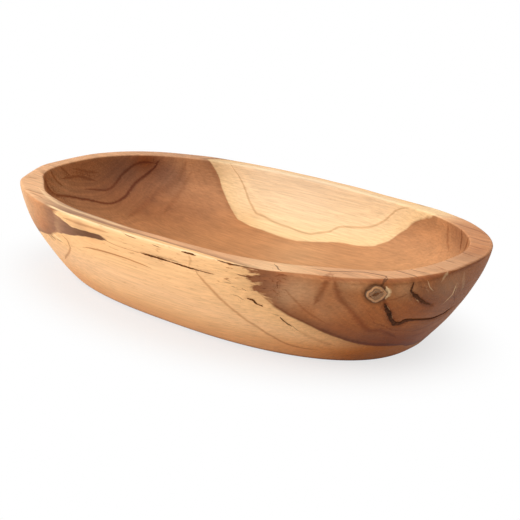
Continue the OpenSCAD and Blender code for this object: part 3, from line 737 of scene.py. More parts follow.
def grid_normals(points):
    """Outward directions of a wrapped grid: the cross product of its steps along a row and from row to row."""
    along = np.roll(points, -1, 1) - np.roll(points, 1, 1)
    n = np.cross(along, np.gradient(points, axis=0))
    return n / np.maximum(np.linalg.norm(n, axis=-1, keepdims=True), 1e-9)


def nearest_on(points, path):
    """Distance from each point to the nearest of a path's points, and that one's place in the path."""
    gap = np.linalg.norm(points[:, None, :] - path[None, :, :], axis=-1)
    nearest = gap.argmin(1)
    return gap[np.arange(len(points)), nearest], nearest


def line_field(points, normals, lines):
    """Signed distance across the nearest of some thin lines, in half widths, and the share of it that shows.

    Each line narrows to nothing at its ends. The sign changes from one side of a line to the other, so the shader can
    draw it finer than the mesh.
    """
    far = 9.0
    side, near, best = np.full(len(points), far), np.zeros(len(points)), np.full(len(points), far)
    for path, half, strength in lines:
        reach = 3 * half + 2.4
        close = np.nonzero(((points > path.min(0) - reach) & (points < path.max(0) + reach)).all(1))[0]
        gap, k = nearest_on(points[close], path)
        ahead = np.gradient(path, axis=0)
        ahead /= np.linalg.norm(ahead, axis=1, keepdims=True)
        off = points[close] - path[k]
        across = np.cross(normals[close], ahead[k])
        beyond = np.abs((off * ahead[k]).sum(1))
        to_end = np.minimum(k, len(path) - 1 - k) / len(path)
        width = half * np.sqrt(np.clip(to_end / 0.15, 0.09, 1))
        share = strength * smooth((reach - gap) / 1.2) * smooth((1.4 - beyond) / 0.8)
        ours = gap / half < best[close]
        best[close] = np.where(ours, gap / half, best[close])
        side[close] = np.where(ours, (off * across).sum(1) / width, side[close])
        near[close] = np.where(ours, share, near[close])
    return np.stack([side, near, 0 * side], -1)


def heart_depth(form, points, inside):
    """How deep a point lies in the heartwood, in millimetres: above 0 is heartwood, below 0 is sapwood.

    The log's pith runs along the bowl, and depth is a radius less the distance from it. In front the rings are drawn
    out sideways, and the edge is set on a given line of the wall. In the hollow's back wall the rings have a centre of
    their own, which fades into the log's at the ends.
    """
    x, y, z = points.T

    def front_depth(x, y, z):
        stretch = 1 + RING_STRETCH * smooth((PITH_Y - y - 15) / 50)
        return HEART_RADIUS - np.hypot((y - PITH_Y) / stretch, PITH_Z - z)

    def depth_on_edge(edge):
        """Front depth along a line of the wall given as (height, place along the bowl)."""
        at_z, at_x = np.array(edge, float).T
        half_x, half_y, n = wall_sizes(form, at_z)
        at_y = -half_y * np.maximum(1 - (np.abs(at_x) / half_x) ** n, 0.001) ** (1 / n)
        return np.interp(z, at_z, front_depth(at_x, at_y, at_z))

    right_share = smooth((x + 50) / 100)
    set_edge = depth_on_edge(HEART_EDGE_LEFT) * (1 - right_share) + depth_on_edge(HEART_EDGE_RIGHT) * right_share
    in_front = smooth((-y - 5) / 25) * (1 - inside)
    front = front_depth(x, y, z) - set_edge * in_front
    shallow = (inside > HOLLOW_SHARE) & (front < LEAST_DEPTH)
    front = np.where(shallow, LEAST_DEPTH + TURNED_BACK * (LEAST_DEPTH - front), front)
    ends = HEART_RADIUS - np.hypot(y - PITH_Y, PITH_Z - z)
    reach_x, reach = np.array(HEART_REACH_BACK, float).T
    back = np.interp(x, reach_x, reach) - np.hypot(y - PITH_Y, z - BACK_PITH_Z)
    in_back = smooth((y - 18) / 35) * (1 - smooth((np.abs(x) - 95) / 35)) * inside
    behind = ends + (back - ends) * in_back
    return front + (behind - front) * smooth((y + 30) / 42)


def streak_field(points, inside):
    """The dark streak of the front wall: distance inside its edges in millimetres, and shares of its body and its tip.

    It fades out to the left over 34 mm, and darkens over 36 mm towards the tip at its right.
    """
    x, y, z = points.T
    top_x, top_z = np.array(STREAK_TOP, float).T
    low_x, low_z = np.array(STREAK_BOTTOM, float).T
    depth = np.minimum(np.interp(x, top_x, top_z) - z, z - np.interp(x, low_x, low_z))
    # Its right tip narrows by 0.3 mm a millimetre up to x = -25, and all but the front wall lies outside it
    depth = np.where((y < 0) & (inside < WALL_SHARE), np.minimum(depth, (-25 - x) * 0.3), -9)
    return np.stack([depth, smooth((x + 104) / 34), smooth((x + 84) / 36)], -1)


class DOUGHBOWL_OT_carved_bowl(bpy.types.Operator):
    """Builds the carved body of the bowl in figured teak"""

    bl_idname = "doughbowl.carved_bowl"
    bl_label = "Carved bowl"

    def execute(self, context):
        form, finish = context.scene.dough_bowl_form, context.scene.dough_bowl_finish
        columns = 512
        grid, row_inside = carved_grid(form, columns)
        normals = grid_normals(grid).reshape(-1, 3)
        points = grid.reshape(-1, 3)
        inside = np.repeat(row_inside, columns)
        on_wall, in_hollow = inside < WALL_SHARE, inside > HOLLOW_SHARE
        x, y, z = points.T
        high = form.height / MM
        round_bowl = np.arctan2(y / form.width, x / form.length)

        # Soft waves of the carving, which only take wood away, and none at the base that it stands on
        waves = 0.5 + 0.3 * ripple(points, 46, 3) + 0.2 * ripple(points, 21, 4)
        cut = form.carving / MM * np.clip(waves, 0, 1) * smooth((z - 2) / 6)
        angle, reach, height, up, deep = FLAT_PLACE
        flat = np.exp(-(((np.degrees(round_bowl) - angle) / reach) ** 2) - ((z - height) / up) ** 2)
        cut += deep * flat * smooth(z / 6) * on_wall
        # Troughs along the bark seams and round the knot, and slight ones along the checks
        front = np.nonzero((y < 20) & on_wall)[0]
        knot_at = wall(form, np.radians(KNOT_ANGLE), np.array(high - KNOT_DROP))
        knot_gap = np.linalg.norm(points - knot_at, axis=1)
        radius, width, depth = KNOT_TROUGH
        cut += depth * np.exp(-(((knot_gap - radius) / width) ** 2)) * on_wall
        troughs = [(UNDER_SEAM_COURSE, *UNDER_SEAM_TROUGH), (RIM_SEAM_COURSE, *RIM_SEAM_TROUGH)]
        troughs += [(course, *CHECK_TROUGH) for course in CHECK_COURSES.values()]
        for course, depth, width in troughs:
            gap, _ = nearest_on(points[front], course_path(form, course, 90)[0])
            cut[front] += depth * np.exp(-((gap / width) ** 2))
        # Thin lines, found on the uncut surface that their courses lie on
        lines = {
            name: line_field(points, normals, [line_path(form, line) for line in group])
            for name, group in (("dark_lines", DARK_LINES), ("soft_lines", SOFT_LINES), ("pale_lines", PALE_LINES))
        }
        points = points - normals * cut[:, None]

        # The colour of the rim's top runs 0.9 mm down its edges, and less down the rubbed edge in the front right
        _, edge_drop = rim_edge(form, round_bowl)
        rubbed = smooth((edge_drop - OUTER_EDGE) / 0.8) * (x > 60) * (y < 0)
        seen_drop = 0.9 - 0.72 * rubbed
        on_rim = smooth((z - high + seen_drop) / (0.6 * seen_drop)) * (1 - in_hollow * smooth(high - 0.5 - z))
        # The worn edge of the front rim is pale in its left and middle, in a strip that ends 0.95 mm down: fresh pale
        # wood of the worn bevel, with a painted highlight along its crest
        highlit_edge = smooth((x + 96) / 14) * smooth((88 - x) / 12) * (y < 0) * on_wall
        bevel = highlit_edge * smooth((high - z - 0.04) / 0.2) * smooth((0.95 - high + z) / 0.5)
        # Torn fibre high in the front wall, most of all left of the knot, and less along the middle
        torn_right = smooth((z - 41) / 8) * np.exp(-(((x - 84) / 26) ** 2))
        torn_middle = 0.55 * smooth((z - 45) / 7) * np.exp(-(((x - 5) / 58) ** 2))
        torn = np.maximum(torn_right, torn_middle) * (y < 0) * on_wall
        # Patches by surface. The wall also has painted shade towards the base, in amber, and a painted contact shadow
        # as a dark line along the base's edge
        surfaces = {"wall": (1 - on_rim) * on_wall, "rim": on_rim, "hollow": (1 - on_rim) * in_hollow}
        stains_and_shade, shades, bleached_and_lit = (patches(points, surfaces, group) for group in (STAINS_AND_PAINTED_SHADE, SHADES, BLEACHED_AND_LIT))
        # Painted shade up to 22 mm above the base, strongest within 3 mm of it
        foot = 0.36 * smooth((22 - z) / 20) + 0.4 * smooth((3.2 - z) / 2.4)
        shades = np.clip(shades + foot * surfaces["wall"], 0, 1)
        # A painted contact shadow: a dark line along the base's edge
        stains_and_shade = np.clip(stains_and_shade + 0.85 * smooth((1.75 - z) / 0.95) * surfaces["wall"], 0, 1)
        # Rings show where the wood is cut across them, most of all at the left end, and not along the hollow's floor
        ends = smooth((np.abs(x + 6) - 60) / 60) * np.where(x > 0, 0.35, 1)
        across_rings = np.where(inside > 0.5, ends, 0.8)
        attributes = {
            "heart_depth": heart_depth(form, points, inside),
            "streak": streak_field(points, inside),
            "places": np.stack([inside, on_rim, bevel], -1),
            "wear": np.stack([torn, knot_gap, across_rings], -1),
            "patches": np.stack([stains_and_shade, shades, bleached_and_lit], -1),
            **lines,
        }
        poles = np.array([[0, 0, 0], [*grid[-1].mean(0)[:2], form.floor / MM]])
        pole_values = {key: np.concatenate([v, v[:1], v[-1:]]) for key, v in attributes.items()}
        piece = new_piece(
            "carved_bowl", np.vstack([points, poles]), closed_faces(len(grid), columns), pole_values
        )
        piece.data.materials.append(carved_teak(finish))
        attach(piece, "root")
        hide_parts("bowl_body")
        return {"FINISHED"}


def seam_piece(form, name, course, depth, sink, seed):
    """A strip let into the wall along a course: a lens-shaped section carried along the path, sunk below the wall.

    Its half width follows the strip's own profile and wavers by a fifth, and its surface is slightly rough. Depth and
    sink are in millimetres.
    """
    steps, sides, proud = 120, 12, 0.22
    path, angle, z = course_path(form, course, steps)
    out = wall_normals(form, angle, z)
    ahead = np.gradient(path, axis=0)
    side = np.cross(out, ahead / np.linalg.norm(ahead, axis=1, keepdims=True))
    s = np.linspace(0, 1, steps)
    ends = np.sqrt(np.clip(np.minimum(s, 1 - s) / 0.05, 0.02, 1))
    waver = 1 + 0.2 * ripple(path, 4.5, seed) + 0.14 * ripple(path, 1.8, seed + 1)
    width = np.interp(s, *np.array(STRIP_WIDTHS[name]).T) * ends * np.clip(waver, 0.5, 1.4)
    drift = 0.3 * width * ripple(path, 3.2, seed + 2)
    turn = np.linspace(0, 2 * np.pi, sides + 1)[:-1]
    across, up = np.cos(turn), np.sin(turn)
    up = np.where(up > 0, proud * up, depth * up)
    points = (
        path[:, None]
        + side[:, None] * (drift[:, None] + width[:, None] * across)[..., None]
        + out[:, None] * (-sink + up * np.minimum(1, width[:, None]))[..., None]
    )
    rough = 0.08 * ripple(points.reshape(-1, 3), 1.9, seed + 3).reshape(steps, sides)
    points += out[:, None] * rough[..., None]
    poles = np.stack([points[0].mean(0), points[-1].mean(0)])
    kind = "_bark" if name.endswith("seam") else "_filler"
    return new_piece(name + kind, np.vstack([points.reshape(-1, 3), poles]), closed_faces(steps, sides))


class DOUGHBOWL_OT_bark_seams(bpy.types.Operator):
    """Builds the two strips of ingrown bark beside and under the knot"""

    bl_idname = "doughbowl.bark_seams"
    bl_label = "Bark seams"

    def execute(self, context):
        form, finish = context.scene.dough_bowl_form, context.scene.dough_bowl_finish
        bark = ingrown_bark(finish)
        for name, course, seed in (("under_knot_seam", UNDER_SEAM_COURSE, 11), ("rim_seam", RIM_SEAM_COURSE, 21)):
            piece = seam_piece(form, name, course, depth=1.6, sink=0.42, seed=seed)
            piece.data.materials.append(bark)
            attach(piece, "root")
            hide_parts(name)
        return {"FINISHED"}


class DOUGHBOWL_OT_check_stopping(bpy.types.Operator):
    """Builds the dark stopping in the five checks of the front wall"""

    bl_idname = "doughbowl.check_stopping"
    bl_label = "Check stopping"

    def execute(self, context):
        form, finish = context.scene.dough_bowl_form, context.scene.dough_bowl_finish
        stopping = dark_stopping(finish)
        for seed, (name, course) in enumerate(CHECK_COURSES.items(), 31):
            piece = seam_piece(form, name, course, depth=1, sink=0.2, seed=10 * seed)
            piece.data.materials.append(stopping)
            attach(piece, "root")
            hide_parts(name)
        return {"FINISHED"}


class DOUGHBOWL_OT_knot(bpy.types.Operator):
    """Builds the encased knot in the right of the front wall"""

    bl_idname = "doughbowl.knot"
    bl_label = "Knot"

    def execute(self, context):
        form, finish = context.scene.dough_bowl_form, context.scene.dough_bowl_finish
        columns, face_rows, half_x, half_y = 96, 34, 5.75, 5.45
        turn = np.linspace(0, 2 * np.pi, columns + 1)[:-1][None, :]
        # Radius of each row as a share of the face, and its height over the wall: root, side and lip, then the face
        side_radius, side_lift = [0.3, 0.66, 0.7, 0.85, 0.97], [-2.6, -2.6, -2.4, -1.4, -0.5]
        radius = np.r_[side_radius, np.linspace(1, 0.04, face_rows)][:, None]
        lift = np.r_[side_lift, np.zeros(face_rows)][:, None]
        face = np.r_[np.zeros(len(side_lift)), np.ones(face_rows)][:, None]
        # The face is crowned and slightly ringed, with a lobed outline, a split and a pit in its middle
        rings = 0.16 * np.sin(radius * 19 + 0.6 * np.sin(turn * 3)) * face
        crown = 0.1 - 0.45 * radius**6
        lobes = 0.97 + 0.07 * np.cos(4 * turn) + 0.03 * np.sin(2 * turn + 0.7) + 0.025 * np.sin(7 * turn + 1)
        split = 0.5 * np.exp(-((np.sin(turn - 0.5) * radius * 6 / 0.55) ** 2)) * (radius < 0.8)
        pit = 0.5 * np.exp(-((radius / 0.22) ** 2))
        flat_x, flat_y = half_x * radius * lobes * np.cos(turn), half_y * radius * lobes * np.sin(turn)
        rise = lift + face * (crown + rings - split - pit)
        angle, z = np.radians(KNOT_ANGLE), np.array(form.height / MM - KNOT_DROP)
        at, out = wall(form, angle, z), wall_normals(form, angle, z)
        level = np.cross([0, 0, 1], out)
        level /= np.linalg.norm(level)
        upright = np.cross(out, level)
        points = at + flat_x[..., None] * level + flat_y[..., None] * upright + rise[..., None] * out
        poles = np.stack([points[0].mean(0), points[-1].mean(0)])
        values = np.r_[np.broadcast_to(radius, flat_x.shape).ravel(), side_radius[0], 0]
        piece = new_piece(
            "encased_knot", np.vstack([points.reshape(-1, 3), poles]), closed_faces(len(radius), columns),
            {"ring_radius": values},
        )
        piece.data.materials.append(knot_wood(finish))
        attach(piece, "root")
        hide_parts("knot")
        return {"FINISHED"}


def add_node(tree, kind, inputs=(), stops=(), **settings):
    """Adds a node, sets its settings, links or sets its inputs, and fills its colour ramp where stops are given."""
    made = tree.nodes.new(kind)
    for name, value in settings.items():
        setattr(made, name, value)
    for socket, value in dict(inputs).items():
        if isinstance(value, bpy.types.NodeSocket):
            tree.links.new(value, made.inputs[socket])
        else:
            made.inputs[socket].default_value = value
    for place, (at, colour) in enumerate(stops):
        element = made.color_ramp.elements[place] if place < 2 else made.color_ramp.elements.new(at)
        element.position = at
        element.color = (*colour, 1)
    return made


def new_material(name):
    """A material with a plain Principled surface, and its node tree and shader."""
    material = bpy.data.materials.new(name)
    material.use_nodes = True
    return material, material.node_tree, material.node_tree.nodes["Principled BSDF"]


def tinted(colour, share):
    """A colour made darker or lighter by a share of itself."""
    return tuple(min(1.0, c * share) for c in colour)


def carved_teak(finish):
    """Teak, hand carved, sanded and oiled: pale sapwood against orange-brown heartwood with dark growth lines.

    The vertex value heart_depth sets sapwood, heartwood and growth rings. Fibre runs along the bowl, so its
    patterns are drawn out along X: fibre about 1 mm wide and 35 mm long, pores about 0.8 mm by 7 mm, which is
    coarser than real ones so that they show in the render.
    """
    material, tree, shader = new_material("carved_teak")
    place = add_node(tree, "ShaderNodeTexCoord").outputs["Object"]
    depth = add_node(tree, "ShaderNodeAttribute", attribute_name="heart_depth").outputs["Fac"]
    # The other attributes of the mesh hold three values each
    held = {}
    for name in ("streak", "places", "wear", "patches", "soft_lines", "dark_lines", "pale_lines"):
        vector = add_node(tree, "ShaderNodeAttribute", attribute_name=name).outputs["Vector"]
        held[name] = add_node(tree, "ShaderNodeSeparateXYZ", {0: vector}).outputs
    streak, streak_body, streak_tip = held["streak"]
    inside, on_rim, bevel = held["places"]
    torn, from_knot, across_rings = held["wear"]
    stain_and_shade, shade, bleach_and_light = held["patches"]

    # Fibre, pores and slow drifts of tone, all drawn out along the bowl, each from -1 to 1
    lengthwise = {
        "drift": (1 / 0.070, 1 / 0.022, 1 / 0.022),
        "fibre": (1 / 0.035, 1 / 0.0011, 1 / 0.0011),
        "splinter": (1 / 0.016, 1 / 0.0015, 1 / 0.0015),
        "pore": (1 / 0.0075, 1 / 0.0008, 1 / 0.0008),
        "mottle": (1 / 0.016, 1 / 0.007, 1 / 0.007),
    }
    noise = {}
    for key, scale in lengthwise.items():
        stretched = add_node(tree, "ShaderNodeMapping", {"Vector": place, "Scale": scale}).outputs[0]
        grain = add_node(
            tree, "ShaderNodeTexNoise", {"Vector": stretched, "Scale": 1.0, "Detail": 3.0, "Roughness": 0.55}
        ).outputs["Fac"]
        noise[key] = add_node(tree, "ShaderNodeMapRange", {0: grain, 1: 0.28, 2: 0.72, 3: -1.0, 4: 1.0}).outputs[0]

    # Depth in the log, wavering slowly everywhere and splintering along the fibre where the front wall is torn
    waver = add_node(tree, "ShaderNodeMath", {0: noise["drift"], 1: 0.7, 2: depth}, operation="MULTIPLY_ADD").outputs[0]
    jag = add_node(tree, "ShaderNodeMapRange", {0: torn, 1: 0.0, 2: 1.0, 3: 0.12, 4: 0.9}).outputs[0]
    depth = add_node(
        tree, "ShaderNodeMath", {0: noise["splinter"], 1: jag, 2: waver}, operation="MULTIPLY_ADD"
    ).outputs[0]

    # Uneven bands that follow the depth, about 2 to 5 mm wide
    ring_at = add_node(tree, "ShaderNodeMath", {0: depth, 1: 0.42}, operation="MULTIPLY").outputs[0]
    bands = add_node(
        tree, "ShaderNodeTexNoise", {"W": ring_at, "Scale": 1.0, "Detail": 2.5, "Roughness": 0.6},
        noise_dimensions="1D",
    ).outputs["Fac"]

    # Heartwood: redder on the wall than in the hollow, partly as painted shade on the wall and painted light in the
    # hollow, and paler on the rim, partly sun-bleached and partly painted light on its upward face
    heart = add_node(
        tree, "ShaderNodeMix", {0: inside, 6: (*finish.heartwood, 1), 7: (*finish.heartwood_inside_paler_and_lit, 1)},
        data_type="RGBA",
    ).outputs[2]
    # On top of the rim the wood is paler, partly as painted light on its upward face
    heart = add_node(
        tree, "ShaderNodeMix", {0: on_rim, 6: heart, 7: (*finish.rim_wood_and_top_light, 1)}, data_type="RGBA"
    ).outputs[2]
    # Growth lines by depth: a dark edge and fine lines
    deep = add_node(tree, "ShaderNodeMapRange", {0: depth, 1: 0.0, 2: RING_DEPTH, 3: 0.0, 4: 1.0}).outputs[0]
    lines = add_node(
        tree, "ShaderNodeValToRGB", {0: deep},
        stops=[(at / RING_DEPTH, (level,) * 3) for at, level in RING_LEVELS],
    ).outputs[0]
    lines = add_node(
        tree, "ShaderNodeMix", {0: across_rings, 6: (0.9, 0.9, 0.9, 1), 7: lines}, data_type="RGBA"
    ).outputs[2]
    heart = add_node(
        tree, "ShaderNodeMix", {0: lines, 6: (*finish.heartwood_dark, 1), 7: heart}, data_type="RGBA"
    ).outputs[2]
    swing = add_node(tree, "ShaderNodeMapRange", {0: bands, 1: 0.3, 2: 0.7, 3: -0.13, 4: 0.13}).outputs[0]
    tone = add_node(tree, "ShaderNodeMath", {0: swing, 1: across_rings, 2: 1.0}, operation="MULTIPLY_ADD").outputs[0]
    tone = add_node(tree, "ShaderNodeMath", {0: noise["mottle"], 1: 0.12, 2: tone}, operation="MULTIPLY_ADD").outputs[0]
    heart = add_node(tree, "ShaderNodeVectorMath", {0: heart, "Scale": tone}, operation="SCALE").outputs[0]

    # Sapwood: pale, and paler in the hollow partly as painted light, with faint bands, and warmer low down and within
    # 22 mm of the heartwood
    sap = add_node(
        tree, "ShaderNodeMix", {0: inside, 6: (*finish.sapwood, 1), 7: (*finish.sapwood_inside_paler_and_lit, 1)}, data_type="RGBA"
    ).outputs[2]
    faint = add_node(tree, "ShaderNodeMapRange", {0: bands, 1: 0.3, 2: 0.7, 3: 0.95, 4: 1.03}).outputs[0]
    sap = add_node(tree, "ShaderNodeVectorMath", {0: sap, "Scale": faint}, operation="SCALE").outputs[0]
    near_heart = add_node(tree, "ShaderNodeMapRange", {0: depth, 1: -22.0, 2: 0.0, 3: 0.0, 4: 0.8}).outputs[0]
    height = add_node(tree, "ShaderNodeSeparateXYZ", {0: place}).outputs[2]
    near_base = add_node(tree, "ShaderNodeMapRange", {0: height, 1: 0.045, 2: 0.012, 3: 0.0, 4: 0.75}).outputs[0]
    warm = add_node(tree, "ShaderNodeMath", {0: near_heart, 1: near_base}, operation="MAXIMUM").outputs[0]
    sap = add_node(
        tree, "ShaderNodeMix", {0: warm, 6: sap, 7: (1.0, 0.885, 0.62, 1)}, data_type="RGBA", blend_type="MULTIPLY"
    ).outputs[2]
    in_heart = add_node(tree, "ShaderNodeMapRange", {0: depth, 1: -0.3, 2: 0.3, 3: 0.0, 4: 1.0}).outputs[0]
    wood = add_node(tree, "ShaderNodeMix", {0: in_heart, 6: sap, 7: heart}, data_type="RGBA").outputs[2]

    # The purple-brown streak, whose edge splinters along the fibre and whose tip is darker
    ragged = add_node(
        tree, "ShaderNodeMath", {0: noise["splinter"], 1: 0.5, 2: streak}, operation="MULTIPLY_ADD"
    ).outputs[0]
    in_streak = add_node(tree, "ShaderNodeMapRange", {0: ragged, 1: -0.2, 2: 0.4, 3: 0.0, 4: 0.95}).outputs[0]
    in_streak = add_node(tree, "ShaderNodeMath", {0: in_streak, 1: streak_body}, operation="MULTIPLY").outputs[0]
    streak = add_node(
        tree, "ShaderNodeMix", {0: streak_tip, 6: (*finish.streak, 1), 7: (*finish.heartwood_dark, 1)}, data_type="RGBA"
    ).outputs[2]
    # The streak, then soft grey-purple patches, amber darkening and pale patches, some of them painted shade and
    # painted light, and fresh pale wood along the rim's worn edge, with a painted highlight on its crest
    for share, colour, blend in (
        (in_streak, streak, "MIX"),
        (stain_and_shade, (*finish.stain_and_shade, 1), "MIX"),
        (shade, (*finish.amber, 1), "MULTIPLY"),
        (bleach_and_light, (*finish.fresh_wood_and_highlight, 1), "MIX"),
        (bevel, (*finish.fresh_wood_and_highlight, 1), "MIX"),
    ):
        wood = add_node(
            tree, "ShaderNodeMix", {0: share, 6: wood, 7: colour}, data_type="RGBA", blend_type=blend
        ).outputs[2]

    # A dark ring round the knot
    halo = add_node(
        tree, "ShaderNodeValToRGB",
        {0: add_node(tree, "ShaderNodeMapRange", {0: from_knot, 1: 0.0, 2: 16.0, 3: 0.0, 4: 1.0}).outputs[0]},
        stops=[(0.0, (0.5,) * 3), (1.0, (1.0,) * 3), (0.375, (0.42,) * 3), (0.43, (0.8,) * 3), (0.52, (1.0,) * 3)],
    ).outputs[0]
    wood = add_node(tree, "ShaderNodeVectorMath", {0: wood, 1: halo}, operation="MULTIPLY").outputs[0]

    # Soft growth lines, which darken the wood, then dark cracks and pale scratches, each drawn from its distance. Among
    # them are a painted shadow line under the rim's outer edge and a painted highlight along its inner lip
    for name, colour, blend, inner, outer in (
        ("soft_lines", finish.growth_line, "MULTIPLY", 0.2, 1.5),
        ("dark_lines", finish.stopping, "MIX", 0.6, 1.4),
        ("pale_lines", finish.fresh_wood_and_highlight, "MIX", 0.5, 1.5),
    ):
        distance, strength, _ = held[name]
        off = add_node(
            tree, "ShaderNodeMath", {0: noise["splinter"], 1: 0.3, 2: distance}, operation="MULTIPLY_ADD"
        ).outputs[0]
        off = add_node(tree, "ShaderNodeMath", {0: off}, operation="ABSOLUTE").outputs[0]
        on = add_node(tree, "ShaderNodeMapRange", {0: off, 1: inner, 2: outer, 3: 1.0, 4: 0.0}).outputs[0]
        on = add_node(tree, "ShaderNodeMath", {0: on, 1: strength}, operation="MULTIPLY").outputs[0]
        wood = add_node(
            tree, "ShaderNodeMix", {0: on, 6: wood, 7: (*colour, 1)}, data_type="RGBA", blend_type=blend
        ).outputs[2]

    # Pores of the growth lines' brown, fainter in the hollow and darker where the front wall is torn, and then fibre
    sound = add_node(tree, "ShaderNodeMapRange", {0: inside, 1: 0.0, 2: 1.0, 3: 0.82, 4: 0.88}).outputs[0]
    pore_tone = add_node(tree, "ShaderNodeMapRange", {0: torn, 1: 0.2, 2: 0.9, 3: sound, 4: 0.42}).outputs[0]
    open_pore = add_node(
        tree, "ShaderNodeMapRange", {0: noise["pore"], 1: 0.5, 2: 0.8, 3: 1.0, 4: pore_tone}
    ).outputs[0]
    # The share of that brown is 1.3 times what the tone lacks to 1
    pores = add_node(tree, "ShaderNodeMath", {0: open_pore, 1: -1.3, 2: 1.3}, operation="MULTIPLY_ADD").outputs[0]
    wood = add_node(
        tree, "ShaderNodeMix", {0: pores, 6: wood, 7: (*finish.growth_line, 1)}, data_type="RGBA", blend_type="MULTIPLY"
    ).outputs[2]
    streaky = add_node(
        tree, "ShaderNodeMath", {0: noise["fibre"], 1: 0.13, 2: 0.98}, operation="MULTIPLY_ADD"
    ).outputs[0]
    wood = add_node(tree, "ShaderNodeVectorMath", {0: wood, "Scale": streaky}, operation="SCALE").outputs[0]

    # Relief of the fibre and of the open pores, up to 0.3 mm
    relief = add_node(
        tree, "ShaderNodeMath", {0: noise["fibre"], 1: 0.5, 2: open_pore}, operation="MULTIPLY_ADD"
    ).outputs[0]
    bump = add_node(tree, "ShaderNodeBump", {"Height": relief, "Strength": 0.42, "Distance": 0.0003})
    tree.links.new(wood, shader.inputs["Base Color"])
    tree.links.new(bump.outputs[0], shader.inputs["Normal"])
    shader.inputs["Roughness"].default_value = 0.58
    shader.inputs["Specular IOR Level"].default_value = 0.18
    return material


def knot_wood(finish):
    """Hard end grain of a dead branch, cut flush and oiled: rings round a dark split heart, and a bark-dark rim."""
    material, tree, shader = new_material("knot_end_grain")
    wood = tuple(finish.knot)
    place = add_node(tree, "ShaderNodeTexCoord").outputs["Object"]
    radius = add_node(tree, "ShaderNodeAttribute", attribute_name="ring_radius").outputs["Fac"]
    mottle = add_node(
        tree, "ShaderNodeTexNoise", {"Vector": place, "Scale": 1 / 0.0016, "Detail": 3.0, "Roughness": 0.6}
    ).outputs["Fac"]
    shift = add_node(tree, "ShaderNodeMapRange", {0: mottle, 1: 0.3, 2: 0.7, 3: -0.07, 4: 0.07})
    ring_at = add_node(tree, "ShaderNodeMath", {0: radius, 1: shift.outputs[0]}, operation="ADD")
    tone = add_node(
        tree, "ShaderNodeValToRGB", {0: ring_at.outputs[0]},
        stops=[
            (0.0, tinted(wood, 0.25)), (1.0, tinted(wood, 0.3)), (0.18, tinted(wood, 0.4)), (0.3, tinted(wood, 0.9)),
            (0.4, tinted(wood, 0.5)), (0.5, tinted(wood, 0.95)), (0.6, tinted(wood, 0.55)), (0.7, tinted(wood, 1.25)),
            (0.86, tinted(wood, 1.45)), (0.93, tinted(wood, 0.9)),
        ],
    ).outputs[0]
    tree.links.new(tone, shader.inputs["Base Color"])
    bump = add_node(tree, "ShaderNodeBump", {"Height": mottle, "Strength": 0.4, "Distance": 0.0004})
    tree.links.new(bump.outputs[0], shader.inputs["Normal"])
    shader.inputs["Roughness"].default_value = 0.55
    return material


def ingrown_bark(finish):
    """Bark that the tree grew over, cut through: dry, dark brown and crumbly, in grains about 1.5 mm across."""
    material, tree, shader = new_material("ingrown_bark")
    bark = tuple(finish.bark)
    place = add_node(tree, "ShaderNodeTexCoord").outputs["Object"]
    grains = add_node(
        tree, "ShaderNodeTexNoise", {"Vector": place, "Scale": 1 / 0.0015, "Detail": 3.0, "Roughness": 0.65}
    ).outputs["Fac"]
    tone = add_node(
        tree, "ShaderNodeValToRGB", {0: grains},
        stops=[(0.3, tinted(bark, 0.5)), (0.75, tinted(bark, 2.6)), (0.5, bark)],
    ).outputs[0]
    # Away from the knot the bark thins out and the wood shows through it
    back = add_node(tree, "ShaderNodeSeparateXYZ", {0: place}).outputs[1]
    thin = add_node(tree, "ShaderNodeMapRange", {0: back, 1: -0.042, 2: -0.02, 3: 0.0, 4: 0.5}).outputs[0]
    tone = add_node(
        tree, "ShaderNodeMix", {0: thin, 6: tone, 7: (*tinted(bark, 3.4), 1)}, data_type="RGBA"
    ).outputs[2]
    tree.links.new(tone, shader.inputs["Base Color"])
    bump = add_node(tree, "ShaderNodeBump", {"Height": grains, "Strength": 0.6, "Distance": 0.0006})
    tree.links.new(bump.outputs[0], shader.inputs["Normal"])
    shader.inputs["Roughness"].default_value = 0.85
    shader.inputs["Specular IOR Level"].default_value = 0.1
    return material


def dark_stopping(finish):
    """Wood filler mixed with dark dust, pressed into the checks and sanded: matt and near black-brown."""
    material, tree, shader = new_material("dark_stopping")
    filler = tuple(finish.stopping)
    place = add_node(tree, "ShaderNodeTexCoord").outputs["Object"]
    grit = add_node(
        tree, "ShaderNodeTexNoise", {"Vector": place, "Scale": 1 / 0.0012, "Detail": 2.0}
    ).outputs["Fac"]
    tone = add_node(
        tree, "ShaderNodeValToRGB", {0: grit}, stops=[(0.35, tinted(filler, 0.6)), (0.7, tinted(filler, 1.7))]
    ).outputs[0]
    tree.links.new(tone, shader.inputs["Base Color"])
    shader.inputs["Roughness"].default_value = 0.8
    shader.inputs["Specular IOR Level"].default_value = 0.1
    return material


